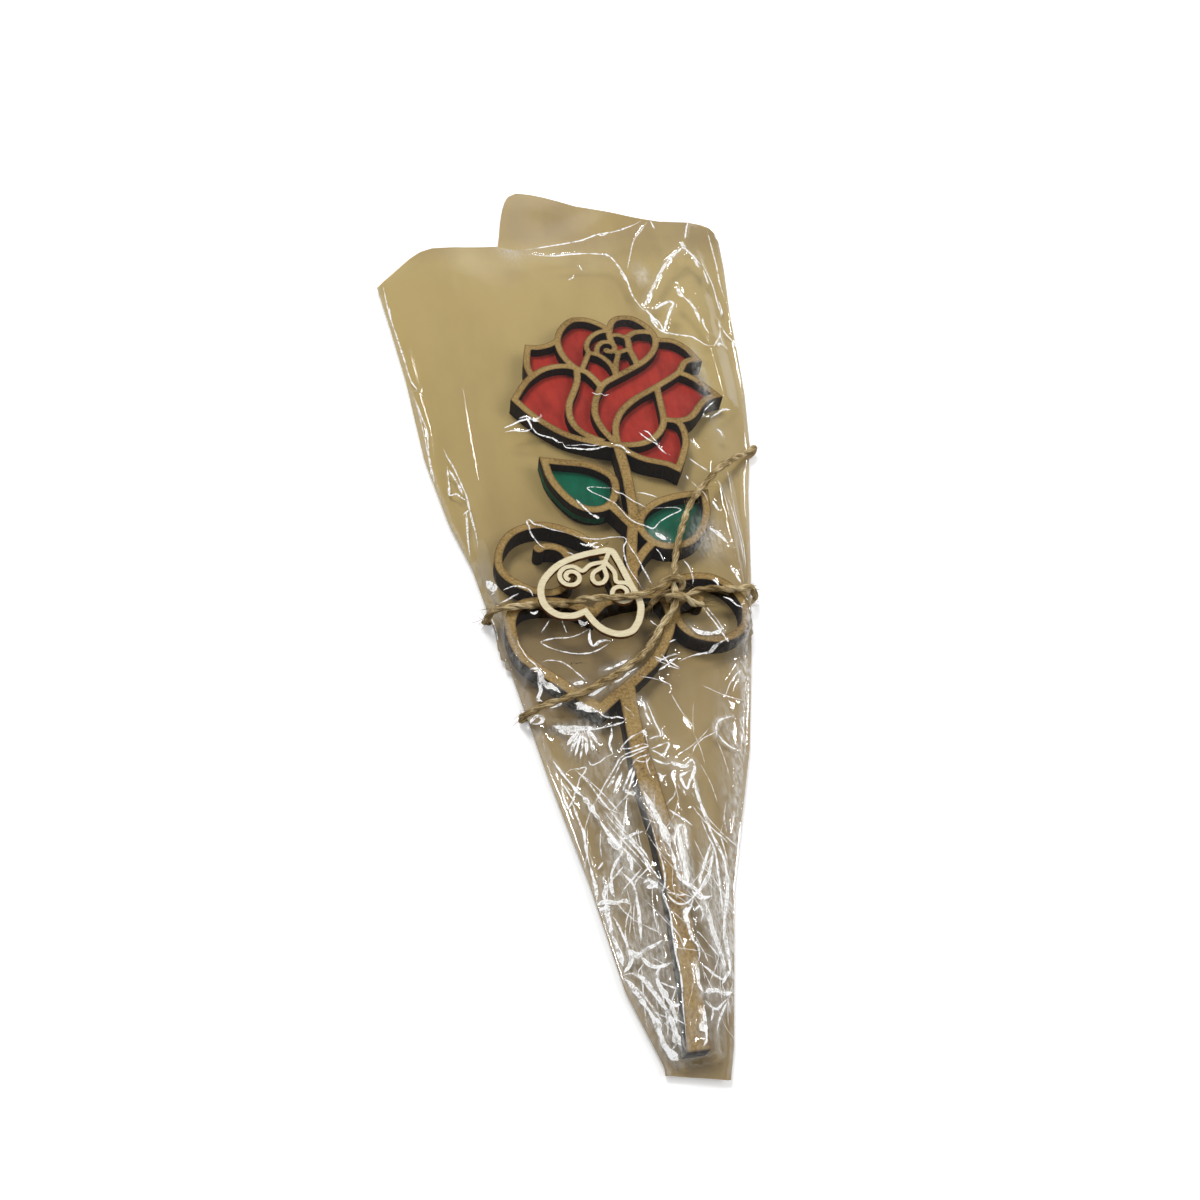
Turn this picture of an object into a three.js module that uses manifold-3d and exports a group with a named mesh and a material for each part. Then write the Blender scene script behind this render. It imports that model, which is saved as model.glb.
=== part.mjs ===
// A wooden rose in its gift sleeve, in millimetres, +Z up, lying flat on a table.
// The rose is two equal boards glued face to face: a pierced top board and a base
// board that closes the petals and leaves. It lies in a tapered sleeve of clear film,
// and one length of jute twine is wound twice round the sleeve and carries a heart tag.
// Plan points are measured from the middle of the stem's foot, with +Y to the flower.
import * as THREE from "three";
import { mergeVertices } from "three/addons/utils/BufferGeometryUtils.js";
import Module from "manifold-3d";

const wasm = await Module();
wasm.setup();

// Driving dimensions
const BOARD = 4; // thickness of each of the rose's two boards
const PETAL_STRIP = 3; // width of the strips between the petals
const SWIRL_STRIP = 2.5; // width of the strips in the flower's centre
const LEAF_STRIP = 3.2;
const SCROLL_STRIP = 3.1;
const HEART_STRIP = 4;
const STEM_STRIP = 4.3; // upper stem; the lower stem is drawn by its two edges
const LEFT_STALK = 4;
const RIGHT_STALK = 3.5;
const SCROLL_KNOB = 4.4; // diameter of the round ends of the two scrolls
const SWIRL_KNOB = 3.4;
const TWINE = 2.3; // diameter of the jute twine
const TWINE_SIDES = 8;
const KNOT_GAP = 0.65; // between the turns of the knot
const FILM = 0.4; // sleeve film with its creases
const FIT = 0.3; // clearance between pieces that only lie together
const SEAM = 1.6; // width of the welded seams along the sleeve's sides
const SLOPE = 0.9; // least run of the front film from its pocket down to a seam
const TAG = 1.5; // thickness of the heart tag
const TAG_RIM = 2.6;
const TAG_SCROLL = 1.8; // width of the strips of the tag's ornament
const TAG_CURL_TURNS = 1.6; // each scroll of the tag winds inwards this often
const TAG_CURL_OUTER = 5.2; // radius of its first turn
const TAG_CURL_INNER = 1.5;
const SEAM_ERROR = 0.01; // slivers thinner than this close up where strips are joined
const CORNER_LAP = 0.2; // how far a sharp corner laps the two strips that it joins
const CURVE_ERROR = 0.1; // how far a straight facet may leave its curve
const CIRCLE_POINTS = 14;
const ROW = 10; // spacing of the film's rows along the sleeve
const SLEEVE_START = -9; // the rows start below the sleeve's foot and end above its mouth
const SLEEVE_END = 440;
const DROOP_START = 345; // past here the back film sinks to the table
const DROOP_END = 402;

// Heights, from the table up
const twineOnTable = TWINE / 2 - TWINE / 10; // its underside is pressed flat
const filmFloor = twineOnTable + TWINE / 2 + FIT;
const roseFloor = filmFloor + FILM;
const roseTop = roseFloor + 2 * BOARD;
const pocketTop = roseTop + FIT;
const twineOnFilm = pocketTop + FILM + FIT + TWINE / 2;
const tagFloor = twineOnFilm + TWINE / 2 + FIT;
const twineOnTag = tagFloor + TAG + FIT + TWINE / 2;
const knotMiddle = twineOnFilm + TWINE + KNOT_GAP;
const knotCrown = knotMiddle + TWINE + KNOT_GAP;

// Centre lines of the flower's strips
const leftPetalFoot = [
  [14.8, 236.6], [10, 237.6], [4.5, 239.6], [-1.4, 241.9], [-5.9, 244.7], [-10.3, 248.5],
  [-14.7, 252.9], [-18.6, 258], [-22.8, 264.3],
];
const leftPetalTop = [
  [-22.8, 264.3], [-19.3, 270.7], [-16.4, 275], [-13.4, 278], [-9.3, 281.2], [-4.5, 283.1],
  [0.3, 283.6], [4.5, 282.8], [7, 280.6],
];
const innerLeftBand = [
  [6.2, 281.5], [5.5, 275.2], [4.1, 270.7], [1.9, 265.9], [0, 261.1], [-0.8, 256.9],
  [-0.8, 252.8], [0.3, 248.3], [2.8, 244.5], [6.6, 241.4], [11.4, 238.6],
];
const innerRightBand = [
  [7, 281.4], [10.3, 279.3], [12.4, 276.2], [14.1, 272.8], [14.8, 270.4], [13.4, 266.9],
  [11.7, 263.1], [10.6, 259], [10, 254.9], [10.6, 250], [12.1, 245.2], [14.1, 241.1], [15.9, 237.6],
];
const sweepTop = [
  [14.6, 269.8], [17.5, 273], [21, 275.4], [25.5, 278], [30, 280.8], [34, 283.4],
  [37.5, 286.2], [40.5, 289.4], [43, 293.4], [44.3, 297], [44.7, 300.5],
];
const rightLobe = [
  [44.4, 299.8], [47, 298.8], [50, 298.6], [53, 297.6], [56, 295], [58.5, 291.5], [61, 285.9],
];
const sweepFoot = [
  [61, 285.9], [57.5, 285.6], [54.8, 284], [53, 281], [51.2, 278.2], [48, 275.5], [44, 272.7],
  [39.3, 269.5], [34, 266.3], [29, 262.9], [24.8, 259.3], [21.3, 255.3], [18.9, 251],
  [17.5, 246.8], [16.9, 242.5], [17, 236.5],
];
const rightPetalTop = [
  [51.2, 278], [54.2, 276.2], [57.5, 273.5], [60.7, 269.8], [65.2, 263.4],
];
const rightPetalFoot = [
  [65.2, 263.4], [62.5, 262.6], [59.2, 260.8], [56, 257.3], [53.3, 253.6], [50.5, 250.8],
  [47, 249.4], [43, 249.3], [38.9, 250.3],
];
const rightPetalEdge = [
  [39.5, 269], [39.3, 261.8], [39.2, 256.2], [39, 251.8], [38.6, 248.8], [37.2, 245.3],
  [34.7, 241.8], [31.7, 239], [26.9, 236.9], [22.4, 236.4], [17.5, 236.6],
];
const lowPetalEdge = [
  [43.5, 249.5], [45.4, 247.2], [46.1, 244.7], [46.3, 240.7], [45.7, 236.2], [43.8, 231.4],
  [41.7, 226.6], [39.5, 222.4],
];
const lowPetalFoot = [
  [39.5, 222.4], [35.8, 225.1], [31.8, 226.6], [27.2, 228], [23.3, 230.3], [20, 232.9], [17.5, 236],
];
const topLeftLobe = [
  [6.6, 281.4], [4.1, 284.5], [2.3, 287.6], [0.9, 291.4], [0.3, 294.9], [0.1, 298.3],
  [0.7, 301.8], [2.4, 306.2], [5.2, 310], [8.6, 312.7], [12.4, 313.2], [16.2, 312.4],
  [19.7, 310.4], [22.8, 307.6], [24.6, 304.6],
];
const backPetalTop = [[0.3, 299.8], [-3.2, 297.3], [-6.5, 296], [-10, 295.4], [-13.3, 295.8]];
const backPetalEdge = [[-13.3, 295.8], [-14.3, 291.5], [-14.9, 287.5], [-15.1, 283.5], [-14, 277.8]];
const topRightLobe = [
  [24.4, 304.6], [25.6, 309], [27, 311.7], [29.5, 313.5], [33, 314], [36.3, 313.4], [39.5, 311],
  [42, 307.8], [43.9, 304.2], [44.8, 299.6],
];
const innerLobeTop = [[31.2, 300.4], [33.3, 302.4], [35.5, 303.9], [38, 304.4], [41, 304.4], [44, 303.6]];
const innerLobeEdge = [
  [31.2, 301.6], [31.9, 299], [31.8, 296.5], [31.6, 294], [31.9, 291.5], [32.6, 288.5], [33.4, 283.4],
];

// Centre lines of the swirl in the flower's middle
const budLeft = [
  [24.6, 305.6], [20.5, 305], [17.3, 303.3], [14.9, 300.8], [13.2, 297.8], [12.5, 294.8], [13, 291.5],
];
const budStalk = [[13, 291.5], [11.7, 288.5], [10.3, 285.3], [8.2, 280.6]];
const budCup = [
  [12.8, 291.6], [16, 290.6], [18.4, 288.9], [20.6, 286], [21.9, 283], [22.5, 280], [22.7, 276.6],
];
const budCurl = [
  [16.4, 290.4], [17, 294], [18.4, 296.6], [20.6, 298.1], [23, 298.1], [24.8, 296.6],
  [25.2, 294.4], [24.3, 292.6], [22.6, 291.8], [21.4, 292.6],
];
const budRight = [[25, 293], [25.5, 291.3], [28, 292], [31.8, 293.6]];
const budFoot = [[26.4, 291.4], [25.3, 288.3], [24.2, 285], [23.5, 281.5], [23, 277.6]];
const budCrown = [[24.4, 308], [24.1, 304], [24.1, 300], [24.6, 297.4]];
const budCrest = [[24.6, 302.2], [28, 302.6], [31.4, 300.8]];

// Centre lines of the stem, leaves, scrolls and heart
const upperStem = [
  [16.6, 238], [17.4, 225], [17.6, 217.5], [17.3, 210], [17.1, 204], [16.3, 197], [14.5, 190],
  [12.8, 182], [11.8, 175], [10.8, 169], [10, 161.5],
];
const leftLeaf = [
  [-14.8, 229.8], [-9.3, 228.6], [-4.5, 227.8], [0, 227], [4.8, 225.2], [8.8, 222.4],
  [11.6, 219], [12.1, 214.9], [11.4, 211.2], [9.8, 207.5], [7, 204.3], [3, 203], [-1.3, 203.6],
  [-5.3, 206.2], [-9.2, 211.2], [-12, 216.5], [-13.9, 222], [-14.8, 229.8],
];
const leftStalk = [[8.2, 205.6], [11.5, 200.5], [15.4, 194]];
const rightLeaf = [
  [47.8, 209], [43, 208.8], [37.5, 208.3], [33, 207.3], [28.5, 205.8], [24.3, 203.3],
  [20.8, 200], [18.5, 195.5], [18.6, 191.5], [20.5, 187.5], [23.6, 184.6], [28, 183.1],
  [33, 183.4], [38, 185.6], [42, 189.6], [45, 194.8], [46.9, 200.5], [47.8, 209],
];
const rightStalk = [[22, 185.6], [17.5, 181], [14.5, 177], [11.4, 172]];
const leftScroll = [
  [4.6, 161], [3.6, 169], [2.6, 174.5], [1.4, 179], [0, 183], [-2.3, 186.8], [-5.8, 190.4],
  [-10.5, 193.3], [-15.5, 195.6], [-20.7, 196.7], [-26.5, 196], [-31.5, 193.8], [-35.2, 190],
  [-37.7, 185], [-38.6, 180], [-38, 176.3], [-36, 172.8], [-32.2, 169.3], [-27.4, 166.2],
  [-22.4, 164.6], [-17.2, 165.6], [-13.6, 169], [-11.9, 173], [-11.5, 177], [-12, 180],
  [-13.3, 183.3], [-16, 185.5], [-19.5, 186.2], [-22.6, 185.6],
];
const rightScroll = [
  [18, 160.6], [22, 164.3], [26, 166.8], [31, 168], [36.3, 168.3], [40.8, 167.5], [44.5, 165.5],
  [47.6, 162.5], [50, 158.5], [51.2, 154], [51, 149.5], [49.4, 145], [46, 141.7], [41.8, 139.9],
  [37.3, 139.6], [32.5, 140.7], [28.3, 142.8], [25.5, 146.3], [24.4, 150.5], [25.2, 155],
  [28, 157.8], [31.5, 158.6], [34.4, 157.8],
];
const heartRight = [
  [-6.5, 154.5], [-2.5, 158.3], [2, 159.8], [8, 160.8], [13, 161.5], [17, 161], [20.5, 159],
  [21.9, 155.5], [22, 150.5], [20.3, 145], [17.3, 139], [13, 133], [7.5, 128], [1, 122.8],
  [-5, 118.5], [-10, 114.4],
];
const heartLeft = [
  [-10, 114.4], [-15.5, 119.3], [-20.5, 124.3], [-26, 129.3], [-31, 134], [-34.8, 138.8],
  [-36.7, 144], [-37.3, 149], [-37, 153.5], [-35, 158], [-31.5, 160.3], [-27, 161],
  [-21, 160.5], [-15, 159.2], [-10, 156.8], [-6.5, 154.5],
];

// The lower stem widens and narrows, so it is drawn by its left and right edges
const stemLeftEdge = [
  [-3.2, 0], [-2.6, 5], [-1.9, 10], [-0.9, 20], [-0.5, 30], [-0.1, 40], [0, 50], [-0.2, 60],
  [-0.6, 70], [-1.6, 80], [-2.6, 90], [-2.7, 100], [-2.7, 122],
];
const stemRightEdge = [
  [3.5, 127], [3.4, 100], [4.8, 90], [5.6, 80], [6.5, 70], [7, 60], [7.1, 50], [6.6, 40],
  [6.2, 30], [5.6, 20], [4.7, 10], [4.3, 5], [4, 0],
];

// Sides of the sleeve, from its foot to its mouth
const sleeveLeft = [
  [-8.9, -9], [-8.9, -1.3], [-16.6, 21.5], [-22.3, 55.7], [-30.8, 95.5], [-37.6, 132.5],
  [-43.6, 161], [-47.9, 183.7], [-55, 206.5], [-62.1, 240.6], [-66.9, 286.2], [-72.9, 326],
  [-76.2, 345.8], [-78, 440],
];
const sleeveRight = [
  [9.9, -9], [10.4, -6.9], [13.3, 1.6], [24.7, 49.9], [41.8, 98.3], [52.2, 138.1], [57.4, 161],
  [60.3, 172.4], [69.6, 215], [76.5, 240.6], [81.6, 271.9], [84.7, 300.4], [87.2, 326],
  [92.2, 361.3], [95, 386], [95.4, 440],
];
const sleeveFoot = [[-120, -3], [-8.1, -4], [9.2, -7.6], [120, -7.6]];
const frontMouth = [
  [-90, 331], [-76.2, 345.1], [-65.1, 357.1], [-60.2, 361.7], [-55.4, 364.5], [-49.8, 365.2],
  [-39.4, 363.1], [-19.3, 363.4], [-12.9, 361.1], [-6.9, 360.4], [5.4, 363.3], [20.3, 367],
  [29.3, 371.5], [38.6, 373.8], [53.1, 382.4], [62.6, 382], [78.8, 387.3], [86.2, 389.8],
  [92, 390.2], [94.3, 385.9], [94.5, 377], [120, 350],
];
const backMouth = [
  [-90, 331], [-76.2, 345.8], [-65, 361.1], [-60, 367.7], [-55, 372.5], [-49.1, 375.3],
  [-38, 376.5], [-17.4, 376.8], [-14.2, 397.4], [-11.4, 409.6], [-8.5, 416.9], [-3.6, 420.3],
  [3.5, 419.1], [10.8, 416.3], [25.2, 409], [47.5, 402.6], [67.4, 397.3], [82, 396.5],
  [88, 394.9], [92.7, 391.9], [94.6, 386.7], [94.8, 378], [120, 350],
];
const footFold = [-3, -0.8]; // the front film comes down to the back film between these

// The heart tag: its outline, and the axis from its notch to its tip
const tagOutline = [
  [-10.9, 150.3], [-14.2, 149.1], [-17.1, 149.1], [-20.6, 149.8], [-23.9, 152.4], [-26, 155.8],
  [-26.7, 160.8], [-25.7, 165.6], [-22.9, 169.9], [-18, 174.4], [-12.3, 177.2], [-6, 179],
  [-0.5, 179.9], [2.8, 180.2], [5, 179.1], [6.4, 175.3], [7.6, 171], [8.7, 166.3], [9.9, 161.4],
  [11.3, 157], [11.7, 152.9], [11, 149.3], [9, 144.6], [5.9, 141.1], [1.8, 139.9], [-1.7, 140.4],
  [-5.4, 142.3], [-8.4, 145.5], [-10.9, 150.3],
];
const tagNotch = new THREE.Vector2(-10.9, 150.3);
const tagTip = new THREE.Vector2(3.6, 180);

const point = ([x, y]) => new THREE.Vector2(x, y);

// Keeps the points of a line that its shape needs.
function thin(line, error) {
  const first = line[0];
  const last = line[line.length - 1];
  const span = last.clone().sub(first);
  let farthest = 0;
  let where = 0;
  for (let i = 1; i < line.length - 1; i++) {
    const away = line[i].clone().sub(first);
    const share = THREE.MathUtils.clamp(away.dot(span) / (span.lengthSq() || 1), 0, 1);
    const distance = away.distanceTo(span.clone().multiplyScalar(share));
    if (distance > farthest) {
      farthest = distance;
      where = i;
    }
  }
  if (farthest <= error) return [first, last];
  const before = thin(line.slice(0, where + 1), error);
  return before.concat(thin(line.slice(where), error).slice(1));
}

// A smooth line through a few plan points.
function smooth(run) {
  const knots = run.map(([x, y]) => new THREE.Vector3(x, y, 0));
  const curve = new THREE.CatmullRomCurve3(knots, false, "centripetal");
  const fine = curve.getPoints(run.length * 12).map((p) => new THREE.Vector2(p.x, p.y));
  const middle = Math.floor(fine.length / 2);
  const start = thin(fine.slice(0, middle + 1), CURVE_ERROR);
  return start.concat(thin(fine.slice(middle), CURVE_ERROR).slice(1));
}

const leftOf = (from, to) => {
  const along = to.clone().sub(from).normalize();
  return new THREE.Vector2(-along.y, along.x);
};
const mitre = (a, b) => a.clone().add(b).divideScalar(1 + a.dot(b));
const shifted = (from, side, distance) => from.clone().addScaledVector(side, distance);

// The outline of a strip of one width along a line.
function band(line, width) {
  const sides = line.map((p, i) => {
    if (i === 0) return leftOf(p, line[1]);
    if (i === line.length - 1) return leftOf(line[i - 1], p);
    return mitre(leftOf(line[i - 1], p), leftOf(p, line[i + 1]));
  });
  const left = line.map((p, i) => shifted(p, sides[i], width / 2));
  const right = line.map((p, i) => shifted(p, sides[i], -width / 2));
  return left.concat(right.reverse());
}

// The sharp outer corner where one strip ends and the next one starts.
function corner(before, after, width) {
  const p = before[before.length - 1];
  const a = leftOf(before[before.length - 2], p);
  const b = leftOf(p, after[1]);
  const reach = a.cross(b) > 0 ? -width / 2 : width / 2;
  const inside = shifted(p, mitre(a, b), -reach / 2);
  const lastSide = shifted(shifted(p, a, reach), new THREE.Vector2(a.y, -a.x), -CORNER_LAP);
  const nextSide = shifted(shifted(p, b, reach), new THREE.Vector2(b.y, -b.x), CORNER_LAP);
  return [inside, lastSide, shifted(p, mitre(a, b), reach), nextSide];
}

// Two lapping halves, so that a line that ends where it starts never crosses itself.
function halves(line) {
  if (line.length < 6) return [line];
  const half = Math.floor(line.length / 2);
  return [line.slice(0, half + 1), line.slice(half - 1)];
}

// A chain of strips with sharp corners between its smooth runs.
function strips(runs, width, closed = false) {
  const lines = runs.map(smooth);
  const outlines = lines.flatMap((line) => halves(line).map((half) => band(half, width)));
  for (let i = 1; i < lines.length; i++) outlines.push(corner(lines[i - 1], lines[i], width));
  if (closed) outlines.push(corner(lines[lines.length - 1], lines[0], width));
  return outlines;
}

function disc([x, y], diameter) {
  const circle = new THREE.Path().absarc(x, y, diameter / 2, 0, 2 * Math.PI);
  return circle.getPoints(CIRCLE_POINTS).slice(0, -1);
}

// A closed line moved inwards by a distance; its points run clockwise.
function inset(line, distance) {
  return line.map((p, i) => {
    const before = line[(i + line.length - 1) % line.length];
    const after = line[(i + 1) % line.length];
    return shifted(p, mitre(leftOf(before, p), leftOf(p, after)), -distance);
  });
}

function solid(geometry) {
  const bare = new THREE.BufferGeometry();
  bare.setAttribute("position", geometry.getAttribute("position"));
  if (geometry.index) bare.setIndex(geometry.index);
  const merged = mergeVertices(bare, 1e-4);
  const vertProperties = merged.getAttribute("position").array;
  const triVerts = new Uint32Array(merged.index.array);
  return new wasm.Manifold(new wasm.Mesh({ numProp: 3, vertProperties, triVerts }));
}

// A flat plate over a plan outline.
function plate(outline, floor, thickness, hole = null) {
  const shape = new THREE.Shape(outline);
  if (hole) shape.holes.push(new THREE.Path(hole));
  const geometry = new THREE.ExtrudeGeometry(shape, { depth: thickness, bevelEnabled: false });
  return solid(geometry.translate(0, 0, floor));
}

function joined(solids) {
  return wasm.Manifold.union(solids).asOriginal().simplify(SEAM_ERROR);
}

function mesh(name, body, colour, roughness, extra = {}) {
  const made = body.getMesh();
  const geometry = new THREE.BufferGeometry();
  geometry.setAttribute("position", new THREE.BufferAttribute(new Float32Array(made.vertProperties), 3));
  geometry.setIndex(new THREE.BufferAttribute(new Uint32Array(made.triVerts), 1));
  geometry.computeVertexNormals();
  const material = new THREE.MeshStandardMaterial({ color: colour, roughness, metalness: 0, ...extra });
  const piece = new THREE.Mesh(geometry, material);
  piece.name = name;
  return piece;
}

// Rose
function roseOutlines() {
  return [
    ...strips([leftPetalFoot, leftPetalTop], PETAL_STRIP),
    ...strips([innerLeftBand], PETAL_STRIP),
    ...strips([innerRightBand], PETAL_STRIP),
    ...strips([sweepTop], PETAL_STRIP),
    ...strips([rightLobe, sweepFoot], PETAL_STRIP),
    ...strips([rightPetalTop, rightPetalFoot], PETAL_STRIP),
    ...strips([rightPetalEdge], PETAL_STRIP),
    ...strips([lowPetalEdge, lowPetalFoot], PETAL_STRIP),
    ...strips([topLeftLobe], PETAL_STRIP),
    ...strips([backPetalTop, backPetalEdge], PETAL_STRIP),
    ...strips([topRightLobe], PETAL_STRIP),
    ...strips([innerLobeTop], PETAL_STRIP),
    ...strips([innerLobeEdge], PETAL_STRIP),
    ...[budLeft, budStalk, budCup, budCurl, budRight, budFoot, budCrest]
      .flatMap((run) => strips([run], SWIRL_STRIP)),
    ...strips([budCrown], PETAL_STRIP),
    disc(budCurl[budCurl.length - 1], SWIRL_KNOB),
    ...strips([upperStem], STEM_STRIP),
    ...strips([leftLeaf], LEAF_STRIP, true),
    ...strips([leftStalk], LEFT_STALK),
    ...strips([rightLeaf], LEAF_STRIP, true),
    ...strips([rightStalk], RIGHT_STALK),
    ...strips([leftScroll], SCROLL_STRIP),
    disc(leftScroll[leftScroll.length - 1], SCROLL_KNOB),
    ...strips([rightScroll], SCROLL_STRIP),
    disc(rightScroll[rightScroll.length - 1], SCROLL_KNOB),
    ...strips([heartRight, heartLeft], HEART_STRIP, true),
    [...smooth(stemLeftEdge), ...smooth(stemRightEdge)],
  ];
}

// The base board closes the flower and both leaves.
function closedPanels() {
  const flower = [
    ...leftPetalTop.slice(0, 4), ...backPetalEdge.slice(1, 4).reverse(), ...backPetalTop.toReversed(),
    ...topLeftLobe.slice(5, -1), ...topRightLobe.slice(1, -1), ...rightLobe.slice(1),
    ...sweepFoot.slice(1, 5), ...rightPetalTop.slice(1), ...rightPetalFoot.slice(1, 7),
    ...lowPetalEdge.slice(1), ...lowPetalFoot.slice(1, -1), ...leftPetalFoot.slice(0, -1),
  ];
  return [flower, leftLeaf.slice(0, -1), rightLeaf.slice(0, -1)].map((run) => run.map(point));
}

const outlines = roseOutlines();
const contourSolid = joined(outlines.map((line) => plate(line, roseFloor + BOARD, BOARD)));
const baseSolid = joined([...outlines, ...closedPanels()].map((line) => plate(line, roseFloor, BOARD)));

// Sleeve
function along(line, y) {
  const next = line.findIndex(([, height]) => height >= y);
  if (next < 1) return line[next === 0 ? 0 : line.length - 1][0];
  const [x0, y0] = line[next - 1];
  const [x1, y1] = line[next];
  return THREE.MathUtils.mapLinear(y, y0, y1, x0, x1);
}

const rosePoints = [];
const contourVertices = contourSolid.getMesh().vertProperties;
for (let i = 0; i < contourVertices.length; i += 3) {
  rosePoints.push([contourVertices[i], contourVertices[i + 1]]);
}

// The front film's section at a distance y up the sleeve: its pocket is as wide as the
// widest part of the rose so far, so that the rose can slide out of the mouth.
function section(y) {
  const passed = rosePoints.filter((p) => p[1] <= y + ROW).map((p) => p[0]);
  const left = Math.min(along(stemLeftEdge, 0), ...passed) - FIT;
  const right = Math.max(along(stemRightEdge.toReversed(), 0), ...passed) + FIT;
  const leftEdge = Math.min(along(sleeveLeft, y), left - SLOPE - SEAM);
  const rightEdge = Math.max(along(sleeveRight, y), right + SLOPE + SEAM);
  return { left, right, leftEdge, rightEdge };
}

const backHeight = (y) => filmFloor * (1 - THREE.MathUtils.smoothstep(y, DROOP_START, DROOP_END));
const pocketHeight = (y) => {
  const seam = backHeight(y) + FILM;
  const open = THREE.MathUtils.clamp(THREE.MathUtils.mapLinear(y, ...footFold, 0, 1), 0, 1);
  return seam + (pocketTop - seam) * open;
};

const filmRows = [SLEEVE_START, ...footFold];
for (let y = 4; y < SLEEVE_END + ROW; y += ROW) filmRows.push(y);
const sections = filmRows.map(section);

// Height of the front film's upper face over a plan point.
function frontHeight(x, y) {
  const next = filmRows.findIndex((row) => row >= y);
  const share = (y - filmRows[next - 1]) / (filmRows[next] - filmRows[next - 1]);
  const mixed = (size) => THREE.MathUtils.lerp(sections[next - 1][size], sections[next][size], share);
  const [left, right, leftEdge, rightEdge] = ["left", "right", "leftEdge", "rightEdge"].map(mixed);
  const seam = backHeight(y) + FILM;
  const beyond = Math.max(left - x, x - right, 0);
  const run = x < left ? left - leftEdge - SEAM : rightEdge - SEAM - right;
  return FILM + THREE.MathUtils.lerp(pocketHeight(y), seam, Math.min(beyond / run, 1));
}

// A closed skin between an under face and an upper face, both given as rows of points.
function skin(under, upper) {
  const rows = under.length;
  const columns = under[0].length;
  const positions = [...under, ...upper].flat(2);
  const index = [];
  const low = (i, j) => i * columns + j;
  const high = (i, j) => low(i, j) + rows * columns;
  const quad = (a, b, c, d) => index.push(a, b, c, a, c, d);
  for (let i = 0; i + 1 < rows; i++) {
    for (let j = 0; j + 1 < columns; j++) {
      quad(high(i, j), high(i, j + 1), high(i + 1, j + 1), high(i + 1, j));
      quad(low(i, j), low(i + 1, j), low(i + 1, j + 1), low(i, j + 1));
    }
    quad(low(i, 0), high(i, 0), high(i + 1, 0), low(i + 1, 0));
    quad(low(i, columns - 1), low(i + 1, columns - 1), high(i + 1, columns - 1), high(i, columns - 1));
  }
  for (let j = 0; j + 1 < columns; j++) {
    quad(low(0, j), low(0, j + 1), high(0, j + 1), high(0, j));
    quad(low(rows - 1, j), high(rows - 1, j), high(rows - 1, j + 1), low(rows - 1, j + 1));
  }
  const geometry = new THREE.BufferGeometry();
  geometry.setAttribute("position", new THREE.Float32BufferAttribute(positions, 3));
  geometry.setIndex(index);
  return solid(geometry);
}

function backFilm() {
  const share = [0, 0.25, 0.5, 0.75, 1];
  const face = (lift) => filmRows.map((y, i) => {
    const { leftEdge, rightEdge } = sections[i];
    return share.map((s) => [THREE.MathUtils.lerp(leftEdge, rightEdge, s), y, backHeight(y) + lift]);
  });
  return cutToLength(skin(face(0), face(FILM)), backMouth);
}

function frontFilm() {
  const face = (lift) => filmRows.map((y, i) => {
    const { left, right, leftEdge, rightEdge } = sections[i];
    const seam = backHeight(y) + FILM + lift;
    const top = pocketHeight(y) + lift;
    const flat = [0.25, 0.5, 0.75].map((s) => [THREE.MathUtils.lerp(left, right, s), y, top]);
    return [
      [leftEdge, y, seam], [leftEdge + SEAM - lift, y, seam], [left - lift, y, top], ...flat,
      [right + lift, y, top], [rightEdge - SEAM + lift, y, seam], [rightEdge, y, seam],
    ];
  });
  return cutToLength(skin(face(0), face(FILM)), frontMouth);
}

// Cuts a film along the sleeve's foot and along its mouth.
function cutToLength(film, mouth) {
  const outline = [...sleeveFoot, ...mouth.toReversed()].map(point);
  return film.intersect(plate(outline, -1, twineOnTag + 1));
}

// Heart tag: rim, two mirrored scrolls and a drop between them
const tagAxis = tagTip.clone().sub(tagNotch).normalize();
const tagSide = new THREE.Vector2(tagAxis.y, -tagAxis.x);
const onTag = (up, across) => {
  const p = shifted(shifted(tagNotch, tagAxis, up), tagSide, across);
  return [p.x, p.y];
};

function tagScroll(side) {
  const [up, across, firstAngle] = [14.4, 9.7, 0.62];
  const run = [onTag(25.8, 0), onTag(22.6, side * 4.6)];
  for (let i = 0; i <= CIRCLE_POINTS; i++) {
    const share = i / CIRCLE_POINTS;
    const angle = firstAngle - share * TAG_CURL_TURNS * 2 * Math.PI;
    const radius = THREE.MathUtils.lerp(TAG_CURL_OUTER, TAG_CURL_INNER, share);
    const away = across - radius * Math.sin(angle);
    run.push(onTag(up + radius * Math.cos(angle), side * away));
  }
  return run;
}

function heartTag() {
  const rim = smooth(tagOutline).slice(0, -1);
  const inner = inset(tagOutline.slice(0, -1).map(point), TAG_RIM).map((p) => [p.x, p.y]);
  const opening = smooth([...inner, inner[0]]).slice(0, -1).reverse();
  const drop = [onTag(23.6, 0), onTag(19.4, 2.5), onTag(16.4, 2), onTag(15.2, 0)];
  const dropBack = [onTag(15.2, 0), onTag(16.4, -2), onTag(19.4, -2.5), onTag(23.6, 0)];
  const ornament = [
    ...strips([tagScroll(1)], TAG_SCROLL),
    ...strips([tagScroll(-1)], TAG_SCROLL),
    ...strips([[...drop, ...dropBack.slice(1)]], TAG_SCROLL, true),
    ...strips([[onTag(23, 0), onTag(31, 0)]], TAG_SCROLL),
  ];
  return joined([
    plate(rim, tagFloor, TAG, opening),
    ...ornament.map((line) => plate(line, tagFloor, TAG)),
  ]);
}

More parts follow.
